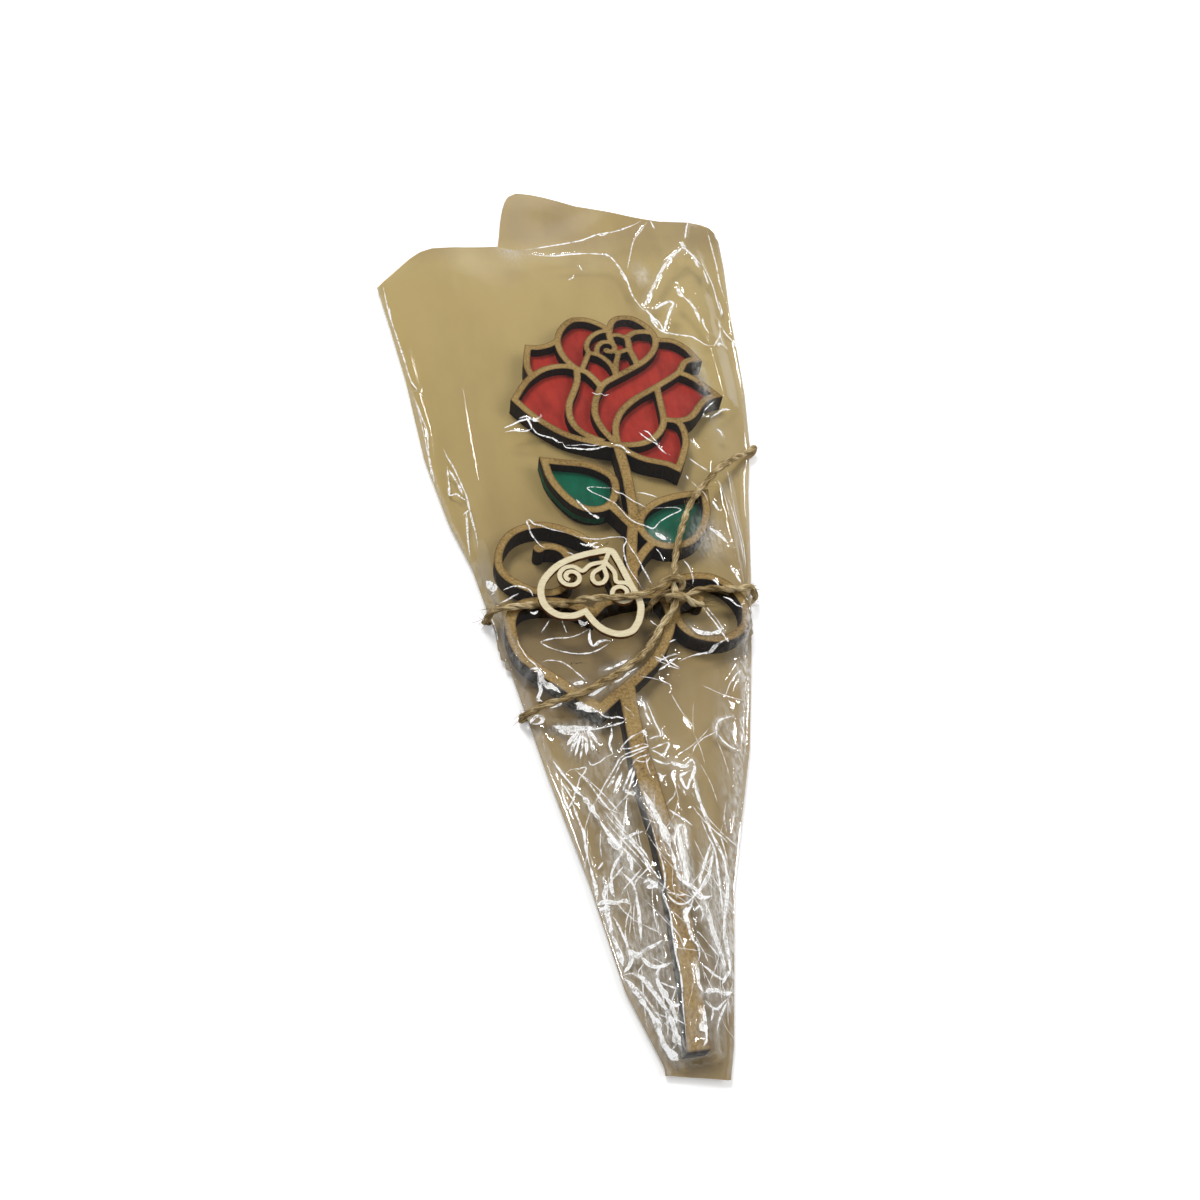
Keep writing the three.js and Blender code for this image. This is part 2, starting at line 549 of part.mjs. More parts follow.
// Twine: one length, from the tail at the knot's left, over the tag to the left edge,
// under the sleeve to the upper right edge, down through the knot to the lower left
// edge, under the sleeve again to the right edge and back into the knot.
function onFilm(x, y, lift = 0) {
  const across = (frontHeight(x + 1, y) - frontHeight(x - 1, y)) / 2;
  const lengthwise = (frontHeight(x, y + 1) - frontHeight(x, y - 1)) / 2;
  return [x, y, frontHeight(x, y) + lift + (FIT + TWINE / 2) * Math.hypot(1, across, lengthwise)];
}
const underFilm = (x, y) => [x, y, twineOnTable];
const edgeTurn = twineOnTable + 0.1; // just before the twine turns up round an edge
const twineRoute = [
  [14.6, 154.6, twineOnFilm], [17, 156.9, twineOnFilm], [20.8, 159.3, twineOnFilm],
  [24.3, 159.9, twineOnFilm], [26.8, 160.3, knotMiddle - 2.1], [27.8, 161.1, knotMiddle],
  [26.8, 162, knotMiddle + 2], [24.3, 162.5, knotCrown], [21.2, 161.4, knotCrown - 0.4],
  [17.2, 158.8, twineOnTag + 0.4], [12.4, 157.1, twineOnTag], [6.7, 156.3, twineOnTag],
  [1.1, 156.1, twineOnTag], [-9.5, 156.3, twineOnTag],
  [-13.4, 156.9, (twineOnTag + twineOnFilm) / 2], [-17.4, 157.6, twineOnFilm],
  [-22.2, 158, twineOnFilm], [-28, 158.1, twineOnFilm], [-34, 157.9, twineOnFilm],
  [-38.5, 157.6, twineOnFilm], [-42.5, 157.6, twineOnFilm - 0.8], [-44.2, 157.9, 8],
  [-45.3, 158.3, 4.6], [-45.3, 158.8, 2.6], [-43.8, 159.8, edgeTurn], underFilm(-41, 161.6),
  underFilm(-20, 175.2), underFilm(20, 201.1), underFilm(50, 220.4), underFilm(72, 234.3),
  [75.7, 236.5, edgeTurn], [77.6, 237.8, 2.6], [77.3, 237.7, 4.5], onFilm(72.6, 234.4, 0.3),
  onFilm(66.6, 230, 0.4), onFilm(61, 225.2, 0.4), onFilm(56.4, 220.7, 0.4), onFilm(51.9, 215.8),
  onFilm(47.6, 211.2), onFilm(44.2, 207.4), onFilm(40.6, 202.7), onFilm(38, 198.4),
  onFilm(35.4, 193), onFilm(32.7, 187), onFilm(30.5, 181.4), onFilm(28.5, 175.7),
  [27, 170.6, twineOnFilm], [25.5, 166.5, knotMiddle - 1.4],
  [24.5, 163.1, knotMiddle], [24.3, 159.1, knotMiddle], [24.1, 155.6, knotMiddle],
  [23, 152.1, knotMiddle - 0.4], [20.6, 149.1, knotMiddle - 2], [17.8, 146.2, twineOnFilm],
  onFilm(15.6, 143.2), onFilm(13.1, 139.6), onFilm(10, 135.6), onFilm(6.4, 132.5),
  onFilm(2.6, 129.9), onFilm(-1.6, 127.3), onFilm(-5.4, 125.2), onFilm(-9.2, 123.3),
  onFilm(-13, 121.6), onFilm(-16.8, 120.1), onFilm(-20.4, 118.9), [-24.1, 117.8, twineOnFilm],
  [-28, 117, 12.5], [-31.5, 116.6, 11], [-34.8, 116.6, 8], [-36.7, 116.9, 4.6],
  [-36.9, 117.3, 2.6], [-35.2, 118, edgeTurn], underFilm(-32, 119.4), underFilm(-10, 130),
  underFilm(20, 144.4), underFilm(50, 157.7), [57.2, 160.7, edgeTurn],
  [59.1, 161.6, 2.6], [58.9, 161.6, 4.6], [57, 161.1, 8.4], [54.9, 160.4, twineOnFilm - 0.7],
  [51, 159.5, twineOnFilm], [46.5, 159.7, twineOnFilm], [42.7, 160.2, twineOnFilm],
  [38.8, 160.4, twineOnFilm], [34.5, 160.2, twineOnFilm], [31.3, 158.9, twineOnFilm],
  [28.3, 157.4, twineOnFilm], [24.5, 156.6, twineOnFilm],
  [22, 156.1, knotMiddle - 2.1], [21, 155.6, knotMiddle], [21.9, 155, knotMiddle + 2],
  [24.3, 154.4, knotCrown], [26.9, 153.9, knotCrown - 1], [29.4, 153.5, knotMiddle - 0.4],
  [31.9, 153.5, twineOnFilm + 0.5], [34.6, 154, twineOnFilm],
];

function twineLine() {
  const knots = twineRoute.map(([x, y, z]) => new THREE.Vector3(x, y, z));
  const curve = new THREE.CatmullRomCurve3(knots, false, "centripetal");
  return thin(curve.getPoints(knots.length * 10), CURVE_ERROR);
}

// The least clear distance between stretches of the twine that aren't neighbours.
function leastGap(line) {
  const travelled = [0];
  for (let i = 1; i < line.length; i++) {
    travelled.push(travelled[i - 1] + line[i].distanceTo(line[i - 1]));
  }
  const near = new THREE.Vector3();
  let least = Infinity;
  for (let i = 0; i < line.length; i++) {
    for (let j = 0; j + 1 < line.length; j++) {
      const fromStart = Math.abs(travelled[i] - travelled[j]);
      const fromEnd = Math.abs(travelled[i] - travelled[j + 1]);
      if (Math.min(fromStart, fromEnd) < 3 * TWINE) continue;
      new THREE.Line3(line[j], line[j + 1]).closestPointToPoint(line[i], true, near);
      least = Math.min(least, near.distanceTo(line[i]) - TWINE);
    }
  }
  return { least, length: travelled[line.length - 1] };
}

function twine() {
  const line = twineLine();
  const { least, length } = leastGap(line);
  const gap = "least gap to itself " + least.toFixed(2) + " mm";
  console.log("twine: " + length.toFixed(0) + " mm long, " + gap);
  const rings = [];
  let side = new THREE.Vector3(0, 0, 1);
  line.forEach((p, i) => {
    const before = line[Math.max(i - 1, 0)];
    const after = line[Math.min(i + 1, line.length - 1)];
    const ahead = after.clone().sub(p).normalize();
    const behind = p.clone().sub(before).normalize();
    const heading = ahead.add(behind).normalize();
    side = side.clone().addScaledVector(heading, -side.dot(heading)).normalize();
    const other = heading.clone().cross(side);
    const ring = [];
    for (let k = 0; k < TWINE_SIDES; k++) {
      const angle = (k / TWINE_SIDES) * 2 * Math.PI;
      const vertex = p.clone().addScaledVector(side, (Math.cos(angle) * TWINE) / 2);
      ring.push(vertex.addScaledVector(other, (Math.sin(angle) * TWINE) / 2));
    }
    rings.push(ring);
  });
  const vertices = rings.flat();
  const index = [];
  for (let i = 0; i + 1 < rings.length; i++) {
    for (let k = 0; k < TWINE_SIDES; k++) {
      const a = i * TWINE_SIDES + k;
      const b = i * TWINE_SIDES + ((k + 1) % TWINE_SIDES);
      index.push(a, b, b + TWINE_SIDES, a, b + TWINE_SIDES, a + TWINE_SIDES);
    }
  }
  const end = vertices.length - TWINE_SIDES;
  for (let k = 1; k + 1 < TWINE_SIDES; k++) index.push(0, k + 1, k, end, end + k, end + k + 1);
  const geometry = new THREE.BufferGeometry().setFromPoints(vertices);
  geometry.setIndex(index);
  return solid(geometry).trimByPlane([0, 0, 1], 0); // pressed flat on the table
}

const rose = new THREE.Group();
rose.add(mesh("rose_contour", contourSolid, 0xa08755, 0.7));
rose.add(mesh("rose_base", baseSolid, 0xa5403a, 0.6));

const sleeve = new THREE.Group();
sleeve.add(mesh("back_film", backFilm(), 0xb4a270, 0.3));
sleeve.add(mesh("front_film", frontFilm(), 0xf2f2f0, 0.1, { transparent: true, opacity: 0.3 }));
sleeve.add(mesh("twine", twine(), 0x967d50, 0.95));

const tag = new THREE.Group();
tag.add(mesh("heart_tag", heartTag(), 0xd7cda5, 0.75));

const group = new THREE.Group();
group.add(sleeve, rose, tag);

// The origin is under the middle of the whole object.
const middle = new THREE.Box3().setFromObject(group).getCenter(new THREE.Vector3());
group.position.set(-middle.x, -middle.y, 0);

export default group;
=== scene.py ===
import math
import random

import bpy
import numpy as np
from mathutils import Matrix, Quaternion, Vector


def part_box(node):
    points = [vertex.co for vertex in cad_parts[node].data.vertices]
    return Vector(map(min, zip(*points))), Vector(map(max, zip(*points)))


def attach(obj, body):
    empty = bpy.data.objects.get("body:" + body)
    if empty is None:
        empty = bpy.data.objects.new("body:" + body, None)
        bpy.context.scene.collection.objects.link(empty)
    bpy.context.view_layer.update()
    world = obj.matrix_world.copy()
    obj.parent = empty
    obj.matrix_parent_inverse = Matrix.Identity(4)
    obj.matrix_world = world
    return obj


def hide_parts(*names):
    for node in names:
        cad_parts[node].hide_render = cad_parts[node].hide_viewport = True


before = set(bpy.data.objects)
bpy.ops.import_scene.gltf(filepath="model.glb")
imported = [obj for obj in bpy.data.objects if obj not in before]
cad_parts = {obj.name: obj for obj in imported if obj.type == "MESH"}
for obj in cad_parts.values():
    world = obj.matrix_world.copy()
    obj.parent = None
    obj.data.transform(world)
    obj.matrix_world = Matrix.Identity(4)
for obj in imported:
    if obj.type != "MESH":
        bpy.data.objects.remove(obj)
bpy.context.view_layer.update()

# A wooden rose in its gift sleeve. Plan points are in millimetres from the middle of the
# stem's foot, with +Y to the flower, and at() turns them into the row frame's metres.
MM = 0.001
ROSE_LEFT = 40.15  # the rose reaches this far left of the middle of its stem's foot
BOARD = 4
TWINE = 2.3
FILM = 0.4  # the solid films of the frame, whose room the thin ones here take
FIT = 0.3
SEAM = 1.6
SLOPE = 0.9
TAG = 1.5
KNOT_GAP = 0.65
DROOP_START = 345
DROOP_END = 402
FOOT_FOLD = (-3, -0.8)

rose_low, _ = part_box("rose_base")
ORIGIN = Vector((rose_low.x + ROSE_LEFT * MM, rose_low.y, 0))

# Heights, from the table up
TWINE_ON_TABLE = TWINE / 2 - TWINE / 10
FILM_FLOOR = TWINE_ON_TABLE + TWINE / 2 + FIT
ROSE_FLOOR = rose_low.z / MM
POCKET_TOP = ROSE_FLOOR + 2 * BOARD + FIT
TWINE_ON_FILM = POCKET_TOP + FILM + FIT + TWINE / 2
TAG_FLOOR = TWINE_ON_FILM + TWINE / 2 + FIT
TWINE_ON_TAG = TAG_FLOOR + TAG + FIT + TWINE / 2
KNOT_MIDDLE = TWINE_ON_FILM + TWINE + KNOT_GAP
KNOT_CROWN = KNOT_MIDDLE + TWINE + KNOT_GAP

# Outlines of the sleeve
SLEEVE_LEFT = [
    (-8.9, -9), (-8.9, -1.3), (-16.6, 21.5), (-22.3, 55.7), (-30.8, 95.5), (-37.6, 132.5),
    (-43.6, 161), (-47.9, 183.7), (-55, 206.5), (-62.1, 240.6), (-66.9, 286.2), (-72.9, 326),
    (-76.2, 345.8), (-78, 440),
]
SLEEVE_RIGHT = [
    (9.9, -9), (10.4, -6.9), (13.3, 1.6), (24.7, 49.9), (41.8, 98.3), (52.2, 138.1), (57.4, 161),
    (60.3, 172.4), (69.6, 215), (76.5, 240.6), (81.6, 271.9), (84.7, 300.4), (87.2, 326),
    (92.2, 361.3), (95, 386), (95.4, 440),
]
SLEEVE_FOOT = [(-120, -3), (-8.1, -4), (9.2, -7.6), (120, -7.6)]
FRONT_MOUTH = [
    (-90, 331), (-76.2, 345.1), (-65.1, 357.1), (-60.2, 361.7), (-55.4, 364.5), (-49.8, 365.2),
    (-39.4, 363.1), (-19.3, 363.4), (-12.9, 361.1), (-6.9, 360.4), (5.4, 363.3), (20.3, 367),
    (29.3, 371.5), (38.6, 373.8), (53.1, 382.4), (62.6, 382), (78.8, 387.3), (86.2, 389.8),
    (92, 390.2), (94.3, 385.9), (94.5, 377), (120, 350),
]
BACK_MOUTH = [
    (-90, 331), (-76.2, 345.8), (-65, 361.1), (-60, 367.7), (-55, 372.5), (-49.1, 375.3),
    (-38, 376.5), (-17.4, 376.8), (-14.2, 397.4), (-11.4, 409.6), (-8.5, 416.9), (-3.6, 420.3),
    (3.5, 419.1), (10.8, 416.3), (25.2, 409), (47.5, 402.6), (67.4, 397.3), (82, 396.5),
    (88, 394.9), (92.7, 391.9), (94.6, 386.7), (94.8, 378), (120, 350),
]


def at(x, y, z):
    return ORIGIN + Vector((x, y, z)) * MM


def across(line, y):
    """The x of an upright outline at the height y."""
    return np.interp(y, [p[1] for p in line], [p[0] for p in line])


def upright(line, x):
    """The y of a level outline at x."""
    return np.interp(x, [p[0] for p in line], [p[1] for p in line])


def smoothstep(value, start, end):
    share = np.clip((value - start) / (end - start), 0, 1)
    return share * share * (3 - 2 * share)


# Camera
CAMERA_PLAN = (-78.84, -65.89)
CAMERA_HEIGHT = 339.77
CAMERA_RISE = 329  # from the rose's face to the camera
CAMERA_AT = at(*CAMERA_PLAN, CAMERA_HEIGHT)
LOOK_AT = at(-3.07, 159.89, 10.77)
ROLL = math.radians(11.592)
LENS = 33
SENSOR = 36


def linked(name, data):
    made = bpy.data.objects.new(name, data)
    bpy.context.scene.collection.objects.link(made)
    return made


lens = bpy.data.cameras.new("camera")
lens.lens = LENS
lens.sensor_width = SENSOR
lens.clip_start = 0.01
camera = linked("camera", lens)
bpy.context.scene.camera = camera
camera.rotation_mode = "QUATERNION"
camera.location = CAMERA_AT
heading = (LOOK_AT - CAMERA_AT).to_track_quat("-Z", "Y")
camera.rotation_quaternion = heading @ Quaternion((0, 0, 1), ROLL)


def srgb(red, green, blue):
    """A colour given as 0 to 255, in the linear values that shaders take."""
    shares = [c / 255 for c in (red, green, blue)]
    return tuple(c / 12.92 if c <= 0.04045 else ((c + 0.055) / 1.055) ** 2.4 for c in shares)


class Paint:
    """A material whose nodes are added one by one."""

    def __init__(self, name, **sockets):
        self.material = bpy.data.materials.new(name)
        self.material.use_nodes = True
        self.tree = self.material.node_tree
        self.shader = self.tree.nodes["Principled BSDF"]
        self.output = self.tree.nodes["Material Output"]
        self.set(self.shader, sockets)

    def set(self, node, sockets):
        for name, value in sockets.items():
            socket = node.inputs[name.replace("_", " ") if isinstance(name, str) else name]
            if isinstance(value, bpy.types.NodeSocket):
                self.tree.links.new(value, socket)
            elif isinstance(value, tuple) and len(value) == 3 and socket.type == "RGBA":
                socket.default_value = (*value, 1)
            else:
                socket.default_value = value

    def node(self, kind, settings=None, **sockets):
        made = self.tree.nodes.new("ShaderNode" + kind)
        for name, value in (settings or {}).items():
            setattr(made, name, value)
        self.set(made, sockets)
        return made

    def place(self):
        """Millimetres from the middle of the stem's foot."""
        moved = self.vector("SUBTRACT", self.node("TexCoord").outputs["Object"], ORIGIN)[0]
        return self.vector("SCALE", moved, Scale=1 / MM)[0]

    def vector(self, operation, *values, **sockets):
        made = self.node("VectorMath", {"operation": operation}, **sockets)
        self.set(made, dict(enumerate(values)))
        return made.outputs

    def stretched(self, place, x, y, z):
        return self.vector("MULTIPLY", place, (x, y, z))[0]

    def noise(self, place, scale, detail=3.0, roughness=0.55):
        made = self.node(
            "TexNoise", Vector=place, Scale=scale, Detail=detail, Roughness=roughness
        )
        return made.outputs["Fac"]

    def maths(self, operation, a, b=0.0):
        made = self.node("Math", {"operation": operation})
        self.set(made, {0: a, 1: b})
        return made.outputs[0]

    def ranged(self, value, low, high, to_low=0.0, to_high=1.0):
        made = self.node("MapRange", {"clamp": True})
        self.set(made, {0: value, 1: low, 2: high, 3: to_low, 4: to_high})
        return made.outputs[0]

    def ramp(self, value, *stops):
        made = self.node("ValToRGB", Fac=value)
        ramp = made.color_ramp
        while len(ramp.elements) < len(stops):
            ramp.elements.new(0.5)
        for element, (where, colour) in zip(ramp.elements, stops):
            element.position = where
            element.color = (*colour, 1)
        return made.outputs["Color"]

    def mixed(self, share, a, b):
        made = self.node("Mix", {"data_type": "RGBA"})
        self.set(made, {0: share, 6: a, 7: b})
        return made.outputs[2]

    def bump(self, height, distance, strength=1.0):
        made = self.node("Bump", Strength=strength, Distance=distance, Height=height)
        return made.outputs["Normal"]

    def facing_up(self):
        normal = self.node("NewGeometry").outputs["True Normal"]
        return self.node("SeparateXYZ", Vector=normal).outputs["Z"]

    def level(self):
        """1 on faces that lie level, 0 on walls."""
        return self.ranged(self.maths("ABSOLUTE", self.facing_up()), 0.4, 0.6)

    def rim(self, reach, start, most):
        """Rises to most at the edges of the piece itself."""
        near = self.node(
            "AmbientOcclusion", {"inside": True, "only_local": True, "samples": 8}, Distance=reach
        )
        return self.ranged(near.outputs["AO"], start, 1.0, most, 0.0)

    def blended(self, share, a, b):
        made = self.node("MixShader", Fac=share)
        self.set(made, {1: a.outputs[0], 2: b.outputs[0]})
        return made

    def shown(self, shader):
        """The material with a shader in the principled one's place."""
        self.tree.nodes.remove(self.shader)
        self.set(self.output, {"Surface": shader.outputs[0]})
        return self.material

    def finish(self, colour=None, roughness=None, normal=None):
        wanted = {"Base Color": colour, "Roughness": roughness, "Normal": normal}
        self.set(self.shader, {k: v for k, v in wanted.items() if v is not None})
        return self.material


# Board that was cut by laser: tan faces with fibres, brown rims and charred walls
BOARD_DARK = srgb(104, 78, 40)
BOARD_TAN = srgb(154, 126, 72)
BOARD_PALE = srgb(182, 156, 102)
RIM_BROWN = srgb(92, 66, 34)
CHAR = srgb(24, 21, 20)
CHAR_BROWN = srgb(52, 40, 31)
RED = srgb(180, 54, 42)
RED_DEEP = srgb(150, 40, 33)
GREEN = srgb(4, 104, 78)
GREEN_DEEP = srgb(2, 82, 60)


def board_face(paint, place):
    fibres = paint.noise(place, 1.1, 6, 0.72)
    clouds = paint.noise(place, 0.06, 2)
    grain = paint.maths("ADD", fibres, paint.ranged(clouds, 0.3, 0.7, -0.08, 0.08))
    face = paint.ramp(grain, (0.3, BOARD_DARK), (0.47, BOARD_TAN), (0.68, BOARD_PALE))
    return paint.mixed(paint.rim(0.8 * MM, 0.55, 0.75), face, RIM_BROWN), fibres


def charred_wall(paint, place):
    soot = paint.noise(paint.stretched(place, 0.8, 0.8, 0.25), 1.1, 4, 0.6)
    return paint.ramp(soot, (0.35, CHAR), (0.75, CHAR_BROWN))


def cut_board():
    paint = Paint("cut_board", Specular_IOR_Level=0.2)
    place = paint.place()
    face, fibres = board_face(paint, place)
    colour = paint.mixed(paint.level(), charred_wall(paint, place), face)
    roughness = paint.ranged(fibres, 0.2, 0.8, 0.62, 0.82)
    return paint.finish(colour, roughness, paint.bump(fibres, 0.05 * MM, 0.5))


# Where the lower board is painted
FLOWER_FROM = 233.0
LOW_PETAL_RIGHT_OF, LOW_PETAL_FROM = 20.0, 214.0
LEFT_LEAF_TO, LEFT_LEAF_FROM = 6.0, 199.0
RIGHT_LEAF_FROM = 180.0


def painted_board():
    paint = Paint("painted_board", Specular_IOR_Level=0.12)
    place = paint.place()
    parts = paint.node("SeparateXYZ", Vector=place)
    x, y, z = parts.outputs["X"], parts.outputs["Y"], parts.outputs["Z"]
    high = paint.maths("GREATER_THAN", y, FLOWER_FROM)
    above = paint.maths("GREATER_THAN", y, LOW_PETAL_FROM)
    beside = paint.maths("GREATER_THAN", x, LOW_PETAL_RIGHT_OF)
    flower = paint.maths("MAXIMUM", high, paint.maths("MULTIPLY", above, beside))
    on_left = paint.maths("LESS_THAN", x, LEFT_LEAF_TO)
    above_scroll = paint.maths("GREATER_THAN", y, LEFT_LEAF_FROM)
    above_fork = paint.maths("GREATER_THAN", y, RIGHT_LEAF_FROM)
    green_part = paint.maths("MAXIMUM", above_scroll, paint.maths("SUBTRACT", above_fork, on_left))
    leaves = paint.maths("MULTIPLY", green_part, paint.maths("SUBTRACT", 1.0, flower))
    strokes = paint.noise(paint.stretched(place, 1, 0.35, 1), 0.22, 4, 0.6)
    red = paint.ramp(strokes, (0.3, RED_DEEP), (0.65, RED))
    green = paint.ramp(strokes, (0.3, GREEN_DEEP), (0.65, GREEN))
    coat = paint.mixed(leaves, red, green)
    face, fibres = board_face(paint, place)
    upward = paint.ranged(paint.facing_up(), 0.4, 0.6)
    downward = paint.ranged(paint.facing_up(), -0.6, -0.4, 1.0, 0.0)
    painted = paint.maths("MAXIMUM", flower, leaves)
    # Paint ran down the left leaf's wall, unevenly
    runs = paint.ranged(paint.noise(place, 0.35, 3), 0.35, 0.7, 2.0, 4.0)
    high_on_wall = paint.maths("GREATER_THAN", paint.maths("ADD", z, runs), ROSE_FLOOR + BOARD)
    left_leaf = paint.maths("MULTIPLY", leaves, on_left)
    run_down = paint.maths("MULTIPLY", high_on_wall, left_leaf)
    wall = paint.mixed(run_down, charred_wall(paint, place), coat)
    bare_or_coat = paint.mixed(painted, face, coat)
    colour = paint.mixed(upward, paint.mixed(downward, wall, face), bare_or_coat)
    return paint.finish(colour, 0.55, paint.bump(fibres, 0.04 * MM, 0.4))


def pale_plywood():
    paint = Paint("pale_plywood", Specular_IOR_Level=0.2)
    place = paint.place()
    grain = paint.noise(paint.stretched(place, 0.35, 2.2, 1), 0.9, 4, 0.6)
    pale, paler, palest = srgb(208, 195, 158), srgb(225, 214, 181), srgb(234, 226, 196)
    face = paint.ramp(grain, (0.3, pale), (0.6, paler), (0.8, palest))
    face = paint.mixed(paint.rim(0.35 * MM, 0.5, 0.45), face, srgb(150, 110, 60))
    burnt = paint.ramp(grain, (0.3, srgb(82, 50, 26)), (0.7, srgb(134, 88, 46)))
    colour = paint.mixed(paint.level(), burnt, face)
    return paint.finish(colour, 0.7, paint.bump(grain, 0.03 * MM, 0.4))


# The tan film is lighter up the sleeve. Painted shade darkens its flap, and a painted shadow
# darkens it where the rose and the tag shade it
TAN_LIGHTENS = (40.0, 330.0)
FLAP_PAINTED_SHADE = (362.0, 384.0)
SHADE_MIDDLE = (-14, 142, 0)
SHADE_ENDS = (8.0, 48.0)


def tan_film():
    paint = Paint("tan_film", Specular_IOR_Level=0.3)
    place = paint.place()
    y = paint.node("SeparateXYZ", Vector=place).outputs["Y"]
    clouds = paint.noise(paint.stretched(place, 1, 0.5, 1), 0.022, 4, 0.55)
    height = paint.ranged(y, *TAN_LIGHTENS, 0.2, 0.95)
    # Painted shade: the flap is made darker than the rest of the film
    flap = paint.ranged(y, *FLAP_PAINTED_SHADE, 0.0, 0.52)
    streaks = paint.noise(paint.stretched(place, 1, 0.2, 1), 0.05, 3, 0.5)
    tone = paint.maths("ADD", height, paint.ranged(clouds, 0.32, 0.68, -0.2, 0.2))
    tone = paint.maths("ADD", tone, paint.ranged(streaks, 0.35, 0.65, -0.08, 0.08))
    tone = paint.maths("SUBTRACT", tone, flap)
    # Painted shadow: the film darkens round this middle, where the rose and the tag shade it
    apart = paint.vector("DISTANCE", place, SHADE_MIDDLE)["Value"]
    tone = paint.maths("SUBTRACT", tone, paint.ranged(apart, *SHADE_ENDS, 0.6, 0.0))
    low, middle, high = srgb(140, 120, 84), srgb(167, 145, 96), srgb(187, 166, 110)
    film = paint.ramp(tone, (0.0, low), (0.5, middle), (1.0, high))
    wrinkle = paint.noise(paint.stretched(place, 1, 0.45, 1), 0.035, 3, 0.45)
    return paint.finish(film, 0.35, paint.bump(wrinkle, 1.0 * MM, 0.9))


def clear_film():
    paint = Paint("clear_film")
    geometry = paint.node("NewGeometry")
    index = paint.ranged(geometry.outputs["Backfacing"], 0.0, 1.0, 1.5, 1 / 1.5)
    shine = paint.node("Fresnel", IOR=index).outputs[0]
    both_faces = paint.maths("MULTIPLY", shine, 1.1)
    clear = paint.node("BsdfTransparent", Color=srgb(251, 250, 248))
    # The white diffuse layer is partly the film's own whitening where it is crumpled, and partly
    # painted sheen standing in for reflections on its folds
    veil_and_sheen = paint.node("BsdfDiffuse", Color=srgb(238, 236, 230))
    haze_and_sheen = paint.node("Attribute", {"attribute_name": "haze_and_sheen"}).outputs["Fac"]
    streaks = paint.noise(paint.stretched(paint.place(), 1.5, 0.5, 1), 0.7, 5, 0.65)
    whitened = paint.maths("MULTIPLY", haze_and_sheen, paint.ranged(streaks, 0.38, 0.6, 0.35, 1.7))
    body = paint.blended(whitened, clear, veil_and_sheen)
    gloss = paint.node("BsdfGlossy", {"distribution": "BECKMANN"}, Roughness=0.1)
    return paint.shown(paint.blended(both_faces, body, gloss))


def crease_frost_and_painted_glint():
    paint = Paint("crease_frost_and_painted_glint")
    broken = paint.ranged(paint.noise(paint.place(), 0.5, 4, 0.8), 0.4, 0.5, 0.2, 1.0)
    clear = paint.node("BsdfTransparent")
    # The white lines are partly the creases' own whitening and partly a painted glint
    frost_and_sheen = paint.node("BsdfDiffuse", Color=srgb(252, 252, 252))
    # Painted glint: a glow of their own, standing in for reflections of the lamps
    glint = paint.node("Emission", Color=(1.0, 1.0, 1.0), Strength=1.1)
    body = paint.blended(0.45, frost_and_sheen, glint)
    strength = paint.node("Attribute", {"attribute_name": "strength"}).outputs["Fac"]
    return paint.shown(paint.blended(paint.maths("MULTIPLY", broken, strength), clear, body))


def jute():
    paint = Paint("jute", Specular_IOR_Level=0.1)
    strand = paint.node("UVMap", {"uv_map": "strand"}).outputs["UV"]
    fibres = paint.noise(paint.stretched(strand, 0.22, 11, 1), 1.0, 5, 0.75)
    tufts = paint.noise(paint.stretched(strand, 0.1, 0.5, 1), 1.0, 3, 0.6)
    tone = paint.maths("ADD", fibres, paint.ranged(tufts, 0.3, 0.7, -0.14, 0.14))
    dark, straw, light = srgb(86, 66, 36), srgb(164, 141, 98), srgb(222, 204, 164)
    colour = paint.ramp(tone, (0.34, dark), (0.5, straw), (0.66, light))
    return paint.finish(colour, 0.85, paint.bump(fibres, 0.2 * MM, 1.0))


def placed(name, mesh, material, body):
    """Makes the mesh a piece that rides a body."""
    piece = linked(name, mesh)
    mesh.materials.append(material)
    mesh.shade_smooth()
    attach(piece, body)
    return piece


def mesh_of(name, points, faces):
    """A mesh whose points are in millimetres from the middle of the stem's foot."""
    mesh = bpy.data.meshes.new(name)
    mesh.from_pydata((points * MM + np.array(ORIGIN)).tolist(), [], faces)
    return mesh


def point_values(mesh, name, values):
    layer = mesh.attributes.new(name, "FLOAT", "POINT")
    layer.data.foreach_set("value", np.array(values, np.float32).ravel())


# Height of the films over a plan point
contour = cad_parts["rose_contour"].data
spots = sorted((v.co.y / MM - ORIGIN.y / MM, v.co.x / MM - ORIGIN.x / MM) for v in contour.vertices)
SPOT_Y = np.array([p[0] for p in spots])
ROSE_MOST_LEFT = np.minimum.accumulate([p[1] for p in spots])
ROSE_MOST_RIGHT = np.maximum.accumulate([p[1] for p in spots])
LOOK_AHEAD = 1.5  # the pocket opens this much before the rose widens


def section(y):
    """The pocket's and the sleeve's left and right edges at a distance y up the sleeve."""
    left = np.interp(y + LOOK_AHEAD, SPOT_Y, ROSE_MOST_LEFT) - FIT
    right = np.interp(y + LOOK_AHEAD, SPOT_Y, ROSE_MOST_RIGHT) + FIT
    left_edge = np.minimum(across(SLEEVE_LEFT, y), left - SLOPE - SEAM)
    right_edge = np.maximum(across(SLEEVE_RIGHT, y), right + SLOPE + SEAM)
    return left, right, left_edge, right_edge


def back_base(y):
    return FILM_FLOOR * (1 - smoothstep(y, DROOP_START, DROOP_END))


def front_base(x, y, softly=False):
    """The front film's height, with a straight slope beside the pocket or a rounded one."""
    left, right, left_edge, right_edge = section(y)
    seam = back_base(y) + FILM
    opened = np.clip((y - FOOT_FOLD[0]) / (FOOT_FOLD[1] - FOOT_FOLD[0]), 0, 1)
    top = seam + (POCKET_TOP - seam) * opened
    beyond = np.maximum(np.maximum(left - x, x - right), 0)
    run = np.where(x < left, left - left_edge - SEAM, right_edge - SEAM - right)
    share = np.minimum(beyond / run, 1)
    if softly:
        share = smoothstep(share, 0, 1)
    return FILM + top + (seam - top) * share


def level(z, *places):
    """Points of the twine's middle that share one height."""
    return [(x, y, z) for x, y in places]


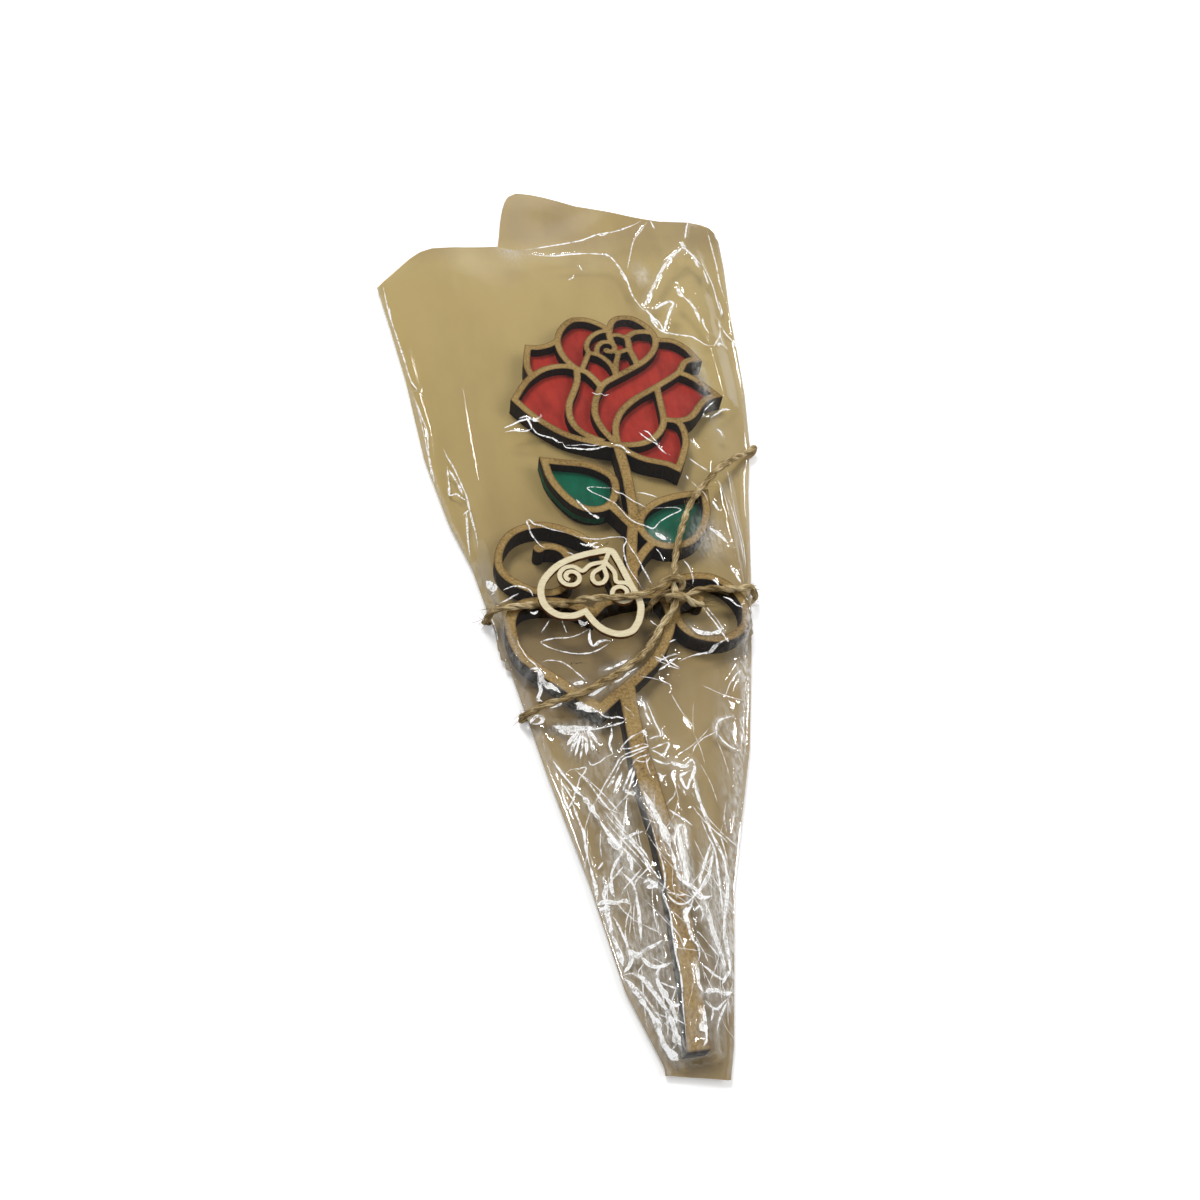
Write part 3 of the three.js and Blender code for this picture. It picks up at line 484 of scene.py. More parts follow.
def on_film(*places, lift=0.0):
    """The twine's middle where it lies on the front film, whatever the film's slope."""
    made = []
    for x, y in places:
        sideways = (front_base(x + 1, y) - front_base(x - 1, y)) / 2
        lengthwise = (front_base(x, y + 1) - front_base(x, y - 1)) / 2
        rise = (FIT + TWINE / 2) * math.sqrt(1 + sideways**2 + lengthwise**2)
        made.append((x, y, float(front_base(x, y)) + lift + rise))
    return made


# The twine's route, as the frame's solid twine has it
EDGE_TURN = TWINE_ON_TABLE + 0.1
TWINE_ROUTE = [
    *level(TWINE_ON_FILM, (14.6, 154.6), (17, 156.9), (20.8, 159.3), (24.3, 159.9)),
    (26.8, 160.3, KNOT_MIDDLE - 2.1), (27.8, 161.1, KNOT_MIDDLE), (26.8, 162, KNOT_MIDDLE + 2),
    (24.3, 162.5, KNOT_CROWN), (21.2, 161.4, KNOT_CROWN - 0.4), (17.2, 158.8, TWINE_ON_TAG + 0.4),
    *level(TWINE_ON_TAG, (12.4, 157.1), (6.7, 156.3), (1.1, 156.1), (-9.5, 156.3)),
    (-13.4, 156.9, (TWINE_ON_TAG + TWINE_ON_FILM) / 2),
    *level(TWINE_ON_FILM, (-17.4, 157.6), (-22.2, 158), (-28, 158.1), (-34, 157.9), (-38.5, 157.6)),
    (-42.5, 157.6, TWINE_ON_FILM - 0.8), (-44.2, 157.9, 8), (-45.3, 158.3, 4.6),
    (-45.3, 158.8, 2.6), (-43.8, 159.8, EDGE_TURN),
    *level(TWINE_ON_TABLE, (-41, 161.6), (-20, 175.2), (20, 201.1), (50, 220.4), (72, 234.3)),
    (75.7, 236.5, EDGE_TURN), (77.6, 237.8, 2.6), (77.3, 237.7, 4.5),
    *on_film((72.6, 234.4), lift=0.3), *on_film((66.6, 230), (61, 225.2), (56.4, 220.7), lift=0.4),
    *on_film((51.9, 215.8), (47.6, 211.2), (44.2, 207.4), (40.6, 202.7), (38, 198.4), (35.4, 193)),
    *on_film((32.7, 187), (30.5, 181.4), (28.5, 175.7)), (27, 170.6, TWINE_ON_FILM),
    (25.5, 166.5, KNOT_MIDDLE - 1.4),
    *level(KNOT_MIDDLE, (24.5, 163.1), (24.3, 159.1), (24.1, 155.6)),
    (23, 152.1, KNOT_MIDDLE - 0.4), (20.6, 149.1, KNOT_MIDDLE - 2), (17.8, 146.2, TWINE_ON_FILM),
    *on_film((15.6, 143.2), (13.1, 139.6), (10, 135.6), (6.4, 132.5), (2.6, 129.9), (-1.6, 127.3)),
    *on_film((-5.4, 125.2), (-9.2, 123.3), (-13, 121.6), (-16.4, 120.2)),
    *level(TWINE_ON_FILM, (-20.4, 118.9), (-24.1, 117.8)), (-28, 117, 12.5), (-31.5, 116.6, 11),
    (-34.8, 116.6, 8), (-36.7, 116.9, 4.6), (-36.9, 117.3, 2.6), (-35.2, 118, EDGE_TURN),
    *level(TWINE_ON_TABLE, (-32, 119.4), (-10, 130), (20, 144.4), (50, 157.7)),
    (57.2, 160.7, EDGE_TURN), (59.1, 161.6, 2.6), (58.9, 161.6, 4.6), (57, 161.1, 8.4),
    (54.9, 160.4, TWINE_ON_FILM - 0.7),
    *level(TWINE_ON_FILM, (51, 159.5), (46.5, 159.7), (42.7, 160.2), (38.8, 160.4), (34.5, 160.2)),
    *level(TWINE_ON_FILM, (31.3, 158.9), (28.3, 157.4), (24.5, 156.6)),
    (22, 156.1, KNOT_MIDDLE - 2.1), (21, 155.6, KNOT_MIDDLE), (21.9, 155, KNOT_MIDDLE + 2),
    (24.3, 154.4, KNOT_CROWN), (26.9, 153.9, KNOT_CROWN - 1), (29.4, 153.5, KNOT_MIDDLE - 0.4),
    (31.9, 153.5, TWINE_ON_FILM + 0.5), (34.6, 154, TWINE_ON_FILM),
]


def lengths_along(line):
    """How far along a line each of its points lies."""
    return np.concatenate([[0], np.cumsum(np.linalg.norm(np.diff(line, axis=0), axis=1))])


def headings(line):
    """The line's direction at each point, of length 1."""
    ways = np.gradient(line, axis=0)
    return ways / np.linalg.norm(ways, axis=1)[:, None]


def smooth_line(points, step):
    """Points at a steady step along a centripetal curve through the given ones."""
    knots = [np.array(p, float) for p in points]
    knots = [2 * knots[0] - knots[1], *knots, 2 * knots[-1] - knots[-2]]
    fine = []
    shares = np.linspace(0, 1, 16, endpoint=False)
    for a, b, c, d in zip(knots, knots[1:], knots[2:], knots[3:]):
        ab, bc, cd = (max(np.linalg.norm(q - p), 1e-6) ** 0.5 for p, q in ((a, b), (b, c), (c, d)))
        out = (b - a) / ab - (c - a) / (ab + bc) + (c - b) / bc
        into = (c - b) / bc - (d - b) / (bc + cd) + (d - c) / cd
        out, into = out * bc, into * bc
        for t in shares:
            rise = b * (2 * t**3 - 3 * t**2 + 1) + c * (3 * t**2 - 2 * t**3)
            fine.append(rise + out * (t**3 - 2 * t**2 + t) + into * (t**3 - t**2))
    fine = np.array(fine + [knots[-2]])
    travelled = lengths_along(fine)
    even = np.linspace(0, travelled[-1], max(int(travelled[-1] / step), 2) + 1)
    return np.stack([np.interp(even, travelled, fine[:, k]) for k in range(fine.shape[1])], 1)


def carried_frames(line):
    """A pair of cross directions at each point of a line, turned as little as can be."""
    heading = headings(line)
    side = np.array([0.0, 0.0, 1.0])
    sides = []
    for way in heading:
        side = side - way * side.dot(way)
        side /= np.linalg.norm(side)
        sides.append(side)
    sides = np.array(sides)
    return sides, np.cross(heading, sides)


def tubes(name, lines, radii, sides):
    """One mesh of tubes along lines, with the distance along and the turn around as its map."""
    vertices, faces, uv = [], [], []
    for line, radius in zip(lines, radii):
        first, second = carried_frames(line)
        reach = radius[:, None]
        start = sum(len(v) for v in vertices)
        angles = np.arange(sides) * 2 * math.pi / sides
        rings = [line + reach * (math.cos(a) * first + math.sin(a) * second) for a in angles]
        vertices.append(np.stack(rings, 1).reshape(-1, 3))
        travelled = lengths_along(line)
        for i in range(len(line) - 1):
            for k in range(sides):
                a, b = start + i * sides + k, start + i * sides + (k + 1) % sides
                faces.append((a, b, b + sides, a + sides))
                low, high = travelled[i], travelled[i + 1]
                turn, next_turn = k / sides, (k + 1) / sides
                uv += [(low, turn), (low, next_turn), (high, next_turn), (high, turn)]
        faces.append(tuple(start + k for k in reversed(range(sides))))
        faces.append(tuple(start + (len(line) - 1) * sides + k for k in range(sides)))
        uv += [(end, k / sides) for end in (0, travelled[-1]) for k in range(sides)]
    mesh = mesh_of(name, np.concatenate(vertices), faces)
    layer = mesh.uv_layers.new(name="strand")
    layer.data.foreach_set("uv", np.array(uv, np.float32).ravel())
    return mesh


TWIST_PITCH = 13  # one turn of the two strands round each other
STRAND = 1.8  # diameter of one strand
SPREAD = 0.5  # from the twine's middle to a strand's
STRAND_STEP = 0.5
LUMP = 0.08  # the strands' thickness varies by this share
LUMP_STEPS = 6
FIBRES = 1100
FIBRE_REACH = (1.5, 7)
FIBRE_RADII = (0.1, 0.05)
FRAYS = 26
FRAY_REACH = (2, 5.5)
FRAY_RADII = (0.12, 0.03)
chance = random.Random(7)


def uneven(count, apart, low, high):
    """A value for each point of a line: random ones every few points, and straight runs between."""
    drawn = [chance.uniform(low, high) for _ in range(count // apart + 2)]
    return np.interp(np.arange(count) / apart, range(len(drawn)), drawn)


def strands(line, first, second):
    """Lines and radii of the two strands, which turn round the twine's middle."""
    turn = np.arange(len(line)) * STRAND_STEP / TWIST_PITCH * 2 * math.pi
    lowest = STRAND / 2 * (1 + LUMP) + 0.02
    under = line[:, 2] < TWINE_ON_TABLE + 0.02
    lines, radii = [], []
    for start in (0, math.pi):
        swing = np.cos(turn + start)[:, None] * first + np.sin(turn + start)[:, None] * second
        strand = line + SPREAD * swing
        strand[:, 2] = np.maximum(strand[:, 2], lowest)
        strand[under, 2] = np.minimum(strand[under, 2], FILM_FLOOR - lowest)
        lines.append(strand)
        radii.append(STRAND / 2 * (1 + uneven(len(line), LUMP_STEPS, -LUMP, LUMP)))
    return lines, radii


def loose_fibres(line, first, second):
    """Lines and radii of the hairs that stand off the twine."""
    for _ in range(FIBRES):
        where = chance.randrange(4, len(line) - 12)
        reach, lean = chance.uniform(*FIBRE_REACH), chance.uniform(0.15, 0.9)
        angle = chance.uniform(0, 2 * math.pi)
        out = math.cos(angle) * first[where] + math.sin(angle) * second[where]
        ahead = line[where + 1] - line[where]
        ahead /= np.linalg.norm(ahead) * chance.choice((-1, 1))
        bend = np.array([chance.uniform(-0.5, 0.5) for _ in range(3)])
        root = line[where] + out * TWINE * 0.35
        steps = np.linspace(0, 1, 5)[:, None]
        leaning = out * lean * reach * 0.5 * steps**1.5
        hair = root + ahead * reach * steps + leaning + bend * steps**2 * reach * 0.4
        hair[:, 2] = np.clip(hair[:, 2], 0.1, KNOT_CROWN + 1)
        yield hair, np.linspace(*FIBRE_RADII, len(hair))


def frayed_ends(line):
    """Lines and radii of the hairs that run on past both ends of the twine."""
    for end, before in ((0, 1), (-1, -2)):
        ahead = line[end] - line[before]
        ahead /= np.linalg.norm(ahead)
        for _ in range(FRAYS):
            reach = chance.uniform(*FRAY_REACH)
            bend = np.array([chance.uniform(-0.6, 0.6) for _ in range(3)])
            steps = np.linspace(0, 1, 6)[:, None]
            root = line[end] - ahead * 1.5 + bend * TWINE * 0.4
            hair = root + ahead * (reach + 1.5) * steps + bend * reach * steps**1.6
            hair[:, 2] = np.clip(hair[:, 2], POCKET_TOP + FILM + 0.1, KNOT_CROWN + 1)
            yield hair, np.linspace(*FRAY_RADII, len(hair))


def twine_pieces():
    skin = jute()
    line = smooth_line(TWINE_ROUTE, STRAND_STEP)
    first, second = carried_frames(line)
    laid = tubes("jute_twine", *strands(line, first, second), 10)
    twine = placed("jute_twine", laid, skin, "sleeve")
    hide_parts("twine")
    hairs, radii = zip(*loose_fibres(line, first, second), *frayed_ends(line))
    fibres = placed("jute_fibres", tubes("jute_fibres", hairs, radii, 3), skin, "sleeve")
    return twine


TWINE_PIECE = twine_pieces()

# Creases of the clear film, drawn after the photograph: width of the white line,
# whiteness of the film beside it, then x and y of each plan point in tenths of a millimetre
# The whiteness beside a crease is partly painted sheen, standing in for reflections on the fold
CREASE_TENTHS = [
    (2.4, 0, 701, 3652, 701, 3591), (1.6, 0, 607, 3517, 651, 3565, 687, 3599), (2.2, 0, 743, 3569,
    748, 3531, 751, 3487), (1.2, 0, 782, 3494, 785, 3450, 788, 3399), (1.6, 0, 607, 3312, 611, 3273,
    626, 3252), (1.2, 0, 551, 3225, 512, 3205, 474, 3172), (1.1, 0, 552, 3184, 526, 3123, 498,
    3050), (1.3, 0, 435, 3172, 454, 3125, 470, 3064), (1.5, 0, 360, 3446, 372, 3403, 382, 3353),
    (1.6, 0, 309, 3571, 320, 3549), (1.4, 0, 729, 2952, 754, 2987, 767, 2984), (1.1, 0, 786, 3159,
    785, 3111), (0.9, 0, 301, 3706, 338, 3717), (0.8, 0, 576, 3822, 584, 3760), (0.9, 0, -296, 2469,
    -261, 2485, -235, 2500, -213, 2511, -187, 2515, -158, 2514, -127, 2530), (0.7, 0, -290, 2447,
    -252, 2456, -212, 2449, -182, 2458), (0.9, 0, -194, 2527, -182, 2492, -178, 2458), (0.8, 0,
    -224, 2522, -189, 2532, -167, 2509, -139, 2502), (0.7, 0, -176, 2469, -160, 2435, -129, 2417,
    -98, 2404, -76, 2381, -60, 2380), (0.8, 0, -64, 2381, -52, 2352, -16, 2345, 29, 2337, 75, 2341,
    114, 2350, 134, 2343), (0.4, 0, -54, 2364, -13, 2362, 21, 2365, 57, 2358, 91, 2362), (0.9, 0,
    144, 2354, 169, 2353, 184, 2341, 196, 2318, 211, 2306), (0.45, 0, 104, 2661, 124, 2648, 142,
    2653, 153, 2641, 175, 2646), (0.6, 0, 262, 2427, 286, 2392, 311, 2368, 329, 2351, 337, 2328,
    347, 2311, 360, 2293), (0.7, 0, 285, 2432, 304, 2419, 319, 2385, 334, 2356), (0.6, 0, 366, 2260,
    378, 2254), (0.45, 0, 110, 2127, 86, 2128, 54, 2132, 22, 2137, 2, 2133, 18, 2111, 47, 2091, 76,
    2069, 101, 2047, 116, 2020, 137, 1979, 167, 1946, 200, 1929, 229, 1913, 263, 1945, 309, 1973,
    346, 1991, 360, 2001, 338, 2012, 285, 2013, 236, 2013), (0.5, 0, 101, 2125, 118, 2103, 137,
    2096, 158, 2074, 178, 2053, 200, 2036, 221, 2019), (0.6, 0, -51, 2076, -29, 2039, -7, 2003, 10,
    1981), (1.6, 0, 0, 1992, 14, 1984, 24, 1973), (1.8, 0.15, 232, 1888, 253, 1871, 269, 1851),
    (0.5, 0, -197, 1843, -218, 1856, -234, 1884, -249, 1919, -252, 1953, -257, 1978, -248, 1987,
    -231, 1964, -205, 1955, -180, 1939, -151, 1927, -125, 1918, -106, 1912), (0.45, 0, -99, 1909,
    -74, 1893, -48, 1884, -18, 1877, 17, 1875, 53, 1880, 88, 1880, 107, 1876, 114, 1861, 100, 1837,
    94, 1809, 94, 1775, 98, 1737, 108, 1703, 121, 1670, 131, 1637, 142, 1617), (0.45, 0, 115, 1856,
    125, 1821, 138, 1787, 148, 1752, 154, 1724, 164, 1690, 174, 1643), (1.2, 0, -68, 1858, -46,
    1847, -26, 1851, -13, 1835, 7, 1839), (0.8, 0, -36, 1837, -14, 1855, 2, 1858), (0.5, 0, -124,
    1819, -109, 1813, -96, 1798), (1.3, 0, -434, 1754, -420, 1715, -407, 1676, -423, 1687), (0.5, 0,
    -403, 1608, -378, 1616, -350, 1632, -327, 1643), (0.6, 0, -384, 1661, -357, 1673, -330, 1677,
    -305, 1669, -285, 1654, -277, 1626), (0.9, 0, -296, 1561, -283, 1551, -267, 1563), (0.4, 0,
    -436, 1624, -423, 1570, -417, 1517, -421, 1482), (0.5, 0, -89, 1470, -109, 1459, -137, 1446,
    -167, 1438, -203, 1438, -236, 1437, -274, 1425, -258, 1409, -235, 1394, -204, 1381, -170, 1370,
    -134, 1365, -98, 1368, -67, 1380, -43, 1393, -22, 1408), (1, 0, -90, 1466, -97, 1440, -98, 1415,
    -90, 1393, -62, 1412, -39, 1414, -22, 1408), (1.4, 0, -127, 1508, -108, 1489, -92, 1501), (0.3,
    0, -268, 1467, -246, 1496, -233, 1516), (0.3, 0, -188, 1522, -182, 1486, -175, 1455), (0.45, 0,
    -281, 1342, -262, 1348, -231, 1344, -207, 1335, -188, 1317, -170, 1295, -152, 1273, -140, 1255),
    (1.5, 0.1, -185, 1243, -166, 1246, -145, 1248), (1.2, 0.12, -67, 1290, -36, 1300, -1, 1314, 27,
    1328), (0.45, 0, -356, 1453, -353, 1423, -342, 1393, -328, 1362, -309, 1340, -295, 1310), (1.9,
    0.1, -325, 1319, -302, 1313, -282, 1279, -259, 1248, -234, 1215), (1.1, 0, -302, 1308, -292,
    1259, -305, 1231, -293, 1214), (1, 0.1, -47, 1235, -24, 1245, 0, 1259, 25, 1278, 53, 1292),
    (1.3, 0.12, -139, 1195, -117, 1201, -93, 1215, -66, 1229), (1, 0.1, -272, 1189, -249, 1188,
    -224, 1194), (2.2, 0.1, -190, 1174, -166, 1157, -139, 1139, -114, 1123), (0.8, 0, -113, 1131,
    -100, 1108, -74, 1098, -49, 1099, -29, 1090), (1.2, 0.1, -357, 1135, -336, 1160, -314, 1173,
    -296, 1154, -314, 1144, -334, 1148), (0.6, 0, -267, 1119, -242, 1100, -206, 1086, -163, 1078,
    -127, 1071, -93, 1070, -59, 1073, -35, 1078, -22, 1093, -34, 1102), (0.5, 0, 345, 1552, 353,
    1519, 362, 1492, 375, 1464, 387, 1432, 399, 1400, 408, 1370, 407, 1383, 372, 1368, 333, 1355,
    296, 1346, 261, 1333, 231, 1318, 214, 1308), (0.35, 0, 359, 1546, 370, 1509, 386, 1476, 397,
    1440, 405, 1408), (1.5, 0.1, 281, 1449, 296, 1430, 323, 1417, 356, 1412, 384, 1419, 403, 1435),
    (0.5, 0, 123, 1332, 149, 1317, 182, 1302, 209, 1282), (0.5, 0, 125, 1307, 161, 1322, 200, 1337,
    222, 1334), (0.5, 0, 127, 1273, 160, 1292, 191, 1315, 209, 1325), (0.5, 0, 150, 1339, 164, 1313,
    175, 1289, 208, 1278), (0.4, 0, 124, 1320, 154, 1300, 182, 1285), (0.4, 0, 189, 1387, 205, 1394,
    217, 1397), (0.6, 0, 137, 1487, 149, 1473, 163, 1463), (0.5, 0, 222, 1815, 233, 1790, 241,
    1751), (0.4, 0, 317, 1755, 331, 1725, 336, 1692, 336, 1654, 328, 1636), (1, 0, 410, 1653, 423,
    1643, 431, 1624), (0.8, 0, 435, 1572, 459, 1557, 479, 1528, 500, 1517), (0.6, 0, 495, 1527, 504,
    1535, 512, 1548), (0.55, 0, 569, 2060, 578, 2019, 582, 1977, 583, 1925, 590, 1873, 587, 1822,
    581, 1779), (0.4, 0, 602, 2076, 595, 2008, 598, 1942, 603, 1881, 597, 1815, 588, 1758), (0.8, 0,
    493, 1704, 503, 1680, 515, 1646, 519, 1627), (2.2, 0.12, 452, 1898, 476, 1877, 494, 1851, 505,
    1825), (0.9, 0, 495, 2034, 505, 2007, 508, 1981), (0.6, 0, 595, 2503, 637, 2541, 671, 2569, 714,
    2586), (1, 0.1, 610, 2445, 628, 2439, 631, 2411), (0.4, 0, 475, 2372, 486, 2343, 497, 2314),
    (0.5, 0, 448, 2267, 472, 2238, 493, 2215, 513, 2192), (0.5, 0, 417, 2176, 421, 2154), (0.4, 0,
    431, 2143, 450, 2115, 472, 2082, 478, 2035), (0.4, 0, 544, 2154, 553, 2095, 555, 2029, 549,
    1950), (0.35, 0, 612, 2233, 606, 2148, 597, 2073), (0.5, 0, 199, 2098, 230, 2091, 256, 2079,
    279, 2067), (0.9, 0, 410, 3188, 429, 3167, 448, 3140, 449, 3099, 464, 3052, 486, 3025, 525,
    3011, 569, 3000, 614, 2989, 641, 2962, 667, 2935, 702, 2932), (0.9, 0.1, 444, 3120, 469, 3106,
    485, 3065, 486, 3025, 510, 3078, 536, 3138, 566, 3192), (1.3, 0.1, 479, 3180, 517, 3207, 554,
    3227, 570, 3212, 543, 3172), (0.7, 0, 649, 3246, 659, 3204, 671, 3149, 672, 3088), (1, 0, 688,
    3113, 685, 3057, 697, 3017), (0.9, 0, 824, 3321, 828, 3269, 820, 3211), (0.6, 0, 701, 2929, 739,
    2996, 771, 3060, 784, 3113), (0.8, 0, 797, 3120, 815, 3084, 836, 3056, 844, 3009), (0.5, 0, 771,
    3060, 773, 3003, 800, 2979), (0.5, 0, -715, 3312, -709, 3246), (0.6, 0, -703, 3194, -690, 3115,
    -677, 3038, -664, 2962, -655, 2894, -642, 2831, -624, 2783, -649, 2786), (0.5, 0, -643, 2756,
    -626, 2687, -614, 2621, -598, 2549, -599, 2484, -599, 2415, -596, 2352, -589, 2283, -590, 2220),
    (0.35, 0, -636, 2725, -622, 2624, -612, 2532, -605, 2444, -599, 2358, -598, 2273, -591, 2194),
    (0.5, 0, -542, 2429, -530, 2381, -514, 2329, -499, 2271, -488, 2216, -474, 2154, -468, 2093,
    -462, 2029, -453, 1960, -451, 1902), (0.8, 0, -533, 2332, -533, 2282, -533, 2232, -533, 2189,
    -510, 2182, -493, 2155, -473, 2120), (0.9, 0, -527, 2309, -511, 2262, -496, 2210, -485, 2160),
    (0.8, 0, -492, 2073, -469, 2079), (0.6, 0, -480, 2081, -481, 2022, -483, 1958, -481, 1892),
    (0.9, 0, -69, 3604, 53, 3633, 204, 3670, 294, 3715, 385, 3738, 478, 3785, 530, 3823), (1, 0,
    -63, 3575, 44, 3559, 165, 3573, 285, 3569, 322, 3558, 357, 3477, 379, 3383, 390, 3264, 420,
    3168), (0.45, 0, 559, 3815, 510, 3738, 469, 3677, 416, 3520, 394, 3448), (1.5, 0.12, 422, 3181,
    474, 3284, 549, 3424, 607, 3519, 663, 3578, 710, 3623), (0.8, 0, 724, 3684, 762, 3806, 789,
    3877), (1.6, 0.1, 705, 3606, 748, 3552, 773, 3520), (0.6, 0, 898, 3881, 890, 3755, 878, 3592,
    864, 3442, 867, 3341), (0.8, 0, 784, 3570, 796, 3502, 815, 3418, 815, 3282, 815, 3195), (0.8, 0,
    622, 3352, 618, 3282, 651, 3211, 665, 3122, 669, 3074), (0.6, 0, 105, 3386, 136, 3407), (0.6, 0,
    175, 3478, 180, 3450), (0.5, 0, -734, 3460, -719, 3300, -700, 3167), (1.6, 0.25, -266, 1122,
    -244, 1108, -215, 1094, -182, 1087, -156, 1082, -133, 1076), (0.8, 0.1, -252, 1100, -223, 1083,
    -198, 1074), (1.3, 0.2, -183, 1081, -206, 1064, -229, 1040), (1.1, 0.2, -180, 1080, -201, 1048,
    -219, 1015), (1, 0.1, -176, 1080, -193, 1034, -209, 994), (1.1, 0.1, -173, 1079, -180, 1028,
    -194, 979), (1.1, 0.1, -167, 1077, -167, 1028, -173, 985), (1.2, 0.2, -160, 1076, -152, 1036,
    -152, 994), (1.1, 0.2, -157, 1075, -141, 1044, -132, 1015), (0.9, 0, -78, 1062, -83, 1033, -94,
    1005, -90, 967), (0.45, 0, -87, 966, -110, 961, -135, 949, -162, 948, -169, 965), (0.5, 0, 34,
    976, 33, 1006, 27, 1034, 5, 1028, -17, 1019, -38, 1002, -58, 981, -35, 975, -3, 983, 22, 988,
    35, 979, 16, 974, -16, 965, -42, 958, -67, 946, -91, 915, -116, 885, -140, 855, -160, 825, -180,
    802, -197, 772, -211, 738, -219, 707), (0.45, 0, 29, 968, 3, 960, -30, 948, -58, 940, -78, 915,
    -96, 883), (0.45, 0, 36, 949, 14, 944, -15, 935, -36, 912), (0.4, 0, -22, 932, 0, 923, 21, 924,
    34, 938), (1.3, 0, 20, 1031, 31, 1037, 31, 1018), (0.6, 0, 39, 967, 61, 973, 84, 980, 107, 984,
    99, 965, 81, 945, 64, 935), (0.5, 0, 42, 963, 61, 950, 76, 938, 84, 927), (0.8, 0, 39, 930, 58,
    917, 77, 908, 98, 905), (2.2, 0.2, 99, 909, 119, 902, 144, 895, 163, 900), (1.2, 0.15, 140, 895,
    162, 911, 179, 923, 186, 905, 176, 875, 155, 845, 137, 815, 127, 836, 125, 862, 146, 873, 166,
    882), (1.2, 0.1, 172, 871, 171, 834, 173, 795, 179, 753, 185, 714, 192, 680, 201, 653, 213, 624,
    223, 598, 227, 565, 226, 530), (0.6, 0, 145, 751, 159, 727, 179, 704, 201, 684, 226, 665, 245,
    649, 253, 633), (0.6, 0, 166, 710, 174, 679, 182, 649, 194, 623, 197, 586, 196, 547), (0.5, 0,
    229, 662, 235, 622, 238, 582), (0.6, 0, 58, 742, 75, 726, 96, 710, 115, 693, 130, 680), (0.9, 0,
    56, 872, 54, 843), (0.5, 0, 46, 877, 61, 865, 76, 867), (0.4, 0, 54, 760, 67, 773, 84, 787, 96,
    809), (1, 0.12, -34, 904, -52, 875, -70, 844, -80, 825), (0.9, 0.12, -30, 892, -45, 859, -60,
    827), (2, 0.25, -73, 827, -59, 812, -40, 810), (1.2, 0.12, -72, 892, -90, 860, -109, 826), (1,
    0.1, -96, 887, -113, 862, -127, 852), (0.45, 0, -70, 804, -81, 761, -94, 716, -107, 672), (1.3,
    0, -109, 666, -86, 669, -64, 673, -42, 674), (0.9, 0.1, -282, 997, -269, 968, -253, 935, -237,
    906, -219, 873, -203, 847), (1.8, 0.2, -205, 851, -193, 827, -183, 803, -174, 776, -162, 749),
    (1, 0.12, -165, 753, -151, 718, -137, 684, -123, 653, -114, 633), (0.45, 0, -249, 938, -231,
    951, -205, 948, -179, 945, -184, 932, -203, 915, -213, 892, -225, 871, -236, 845, -248, 827,
    -258, 820, -264, 849, -266, 888, -264, 927), (0.5, 0, -215, 947, -193, 916, -175, 883, -158,
    842, -144, 807, -127, 771, -113, 739, -99, 704, -88, 677), (0.35, 0, -195, 924, -173, 893, -152,
    859, -132, 821, -115, 785, -100, 756), (0.4, 0, -265, 920, -250, 884, -238, 853, -228, 829),
    (0.8, 0, -240, 836, -232, 799, -225, 759, -217, 723, -218, 690, -217, 653, -213, 612), (1.2,
    0.1, -213, 612, -209, 575, -205, 539, -208, 500), (0.55, 0, -148, 780, -126, 732, -102, 684,
    -76, 636, -53, 589, -36, 547, -18, 509), (0.45, 0.1, -144, 741, -125, 701, -101, 653, -77, 609,
    -52, 562, -31, 523), (0.4, 0, -122, 738, -100, 697, -76, 656, -55, 613, -35, 570), (0.4, 0.1,
    -139, 694, -115, 647, -88, 599, -65, 553), (0.4, 0.1, -89, 673, -72, 642, -52, 612, -40, 578),
    (2.2, 0.3, -150, 684, -134, 663, -122, 642, -113, 620), (1.6, 0.3, -112, 666, -119, 642, -117,
    614), (0.7, 0.12, -116, 621, -134, 603, -150, 578, -158, 544, -155, 505), (1.2, 0.2, -101, 616,
    -93, 587, -95, 555), (0.6, 0, -172, 617, -183, 604, -193, 597), (0.3, 0.08, -163, 722, -173,
    674, -174, 624), (0.6, 0, -129, 575, -115, 548, -101, 521, -94, 490, -94, 455, -94, 414, -98,
    371, -104, 333), (0.5, 0.1, -116, 581, -137, 564, -160, 548, -179, 528), (0.45, 0, -68, 554,
    -96, 532, -120, 514, -138, 494), (0.4, 0, -37, 558, -65, 539, -89, 521, -102, 495), (1.2, 0.25,
    -179, 570, -177, 537, -185, 507, -180, 480), (0.9, 0.15, -157, 554, -161, 523, -156, 496), (1.9,
    0.3, -213, 484, -193, 491, -173, 485, -150, 475, -129, 475, -117, 458), (1.2, 0.2, -210, 467,
    -190, 471, -172, 472), (1.2, 0.3, -70, 508, -51, 515, -36, 495, -29, 484), (1.3, 0.2, -63, 493,
    -45, 494, -25, 503), (2, 0.3, -185, 482, -184, 450, -180, 415, -179, 384), (1.5, 0.3, -179, 384,
    -171, 351, -165, 316, -161, 285), (0.6, 0.1, -168, 439, -157, 408, -148, 374, -141, 342, -140,
    311), (0.5, 0, -112, 451, -128, 424, -139, 390, -141, 357, -137, 326), (0.7, 0, -96, 474, -97,
    433, -98, 390, -102, 351), (1.3, 0.25, -140, 329, -134, 307, -141, 285, -161, 267), (2.3, 0.4,
    -137, 326, -123, 309, -107, 298), (0.9, 0.15, -127, 301, -109, 308, -85, 312, -61, 317, -46,
    324), (1.3, 0.2, -110, 299, -99, 277, -85, 258, -67, 249, -48, 249, -30, 253), (0.5, 0.1, -105,
    274, -119, 260, -128, 239), (1.1, 0.25, -168, 259, -147, 260, -129, 251, -114, 235, -101, 210,
    -89, 183, -77, 154, -65, 125, -57, 93, -52, 61, -49, 30), (1.3, 0.3, -166, 253, -151, 235, -138,
    208, -125, 179, -112, 150, -100, 121, -91, 90, -84, 61, -73, 28), (0.4, 0, -150, 238, -134, 215,
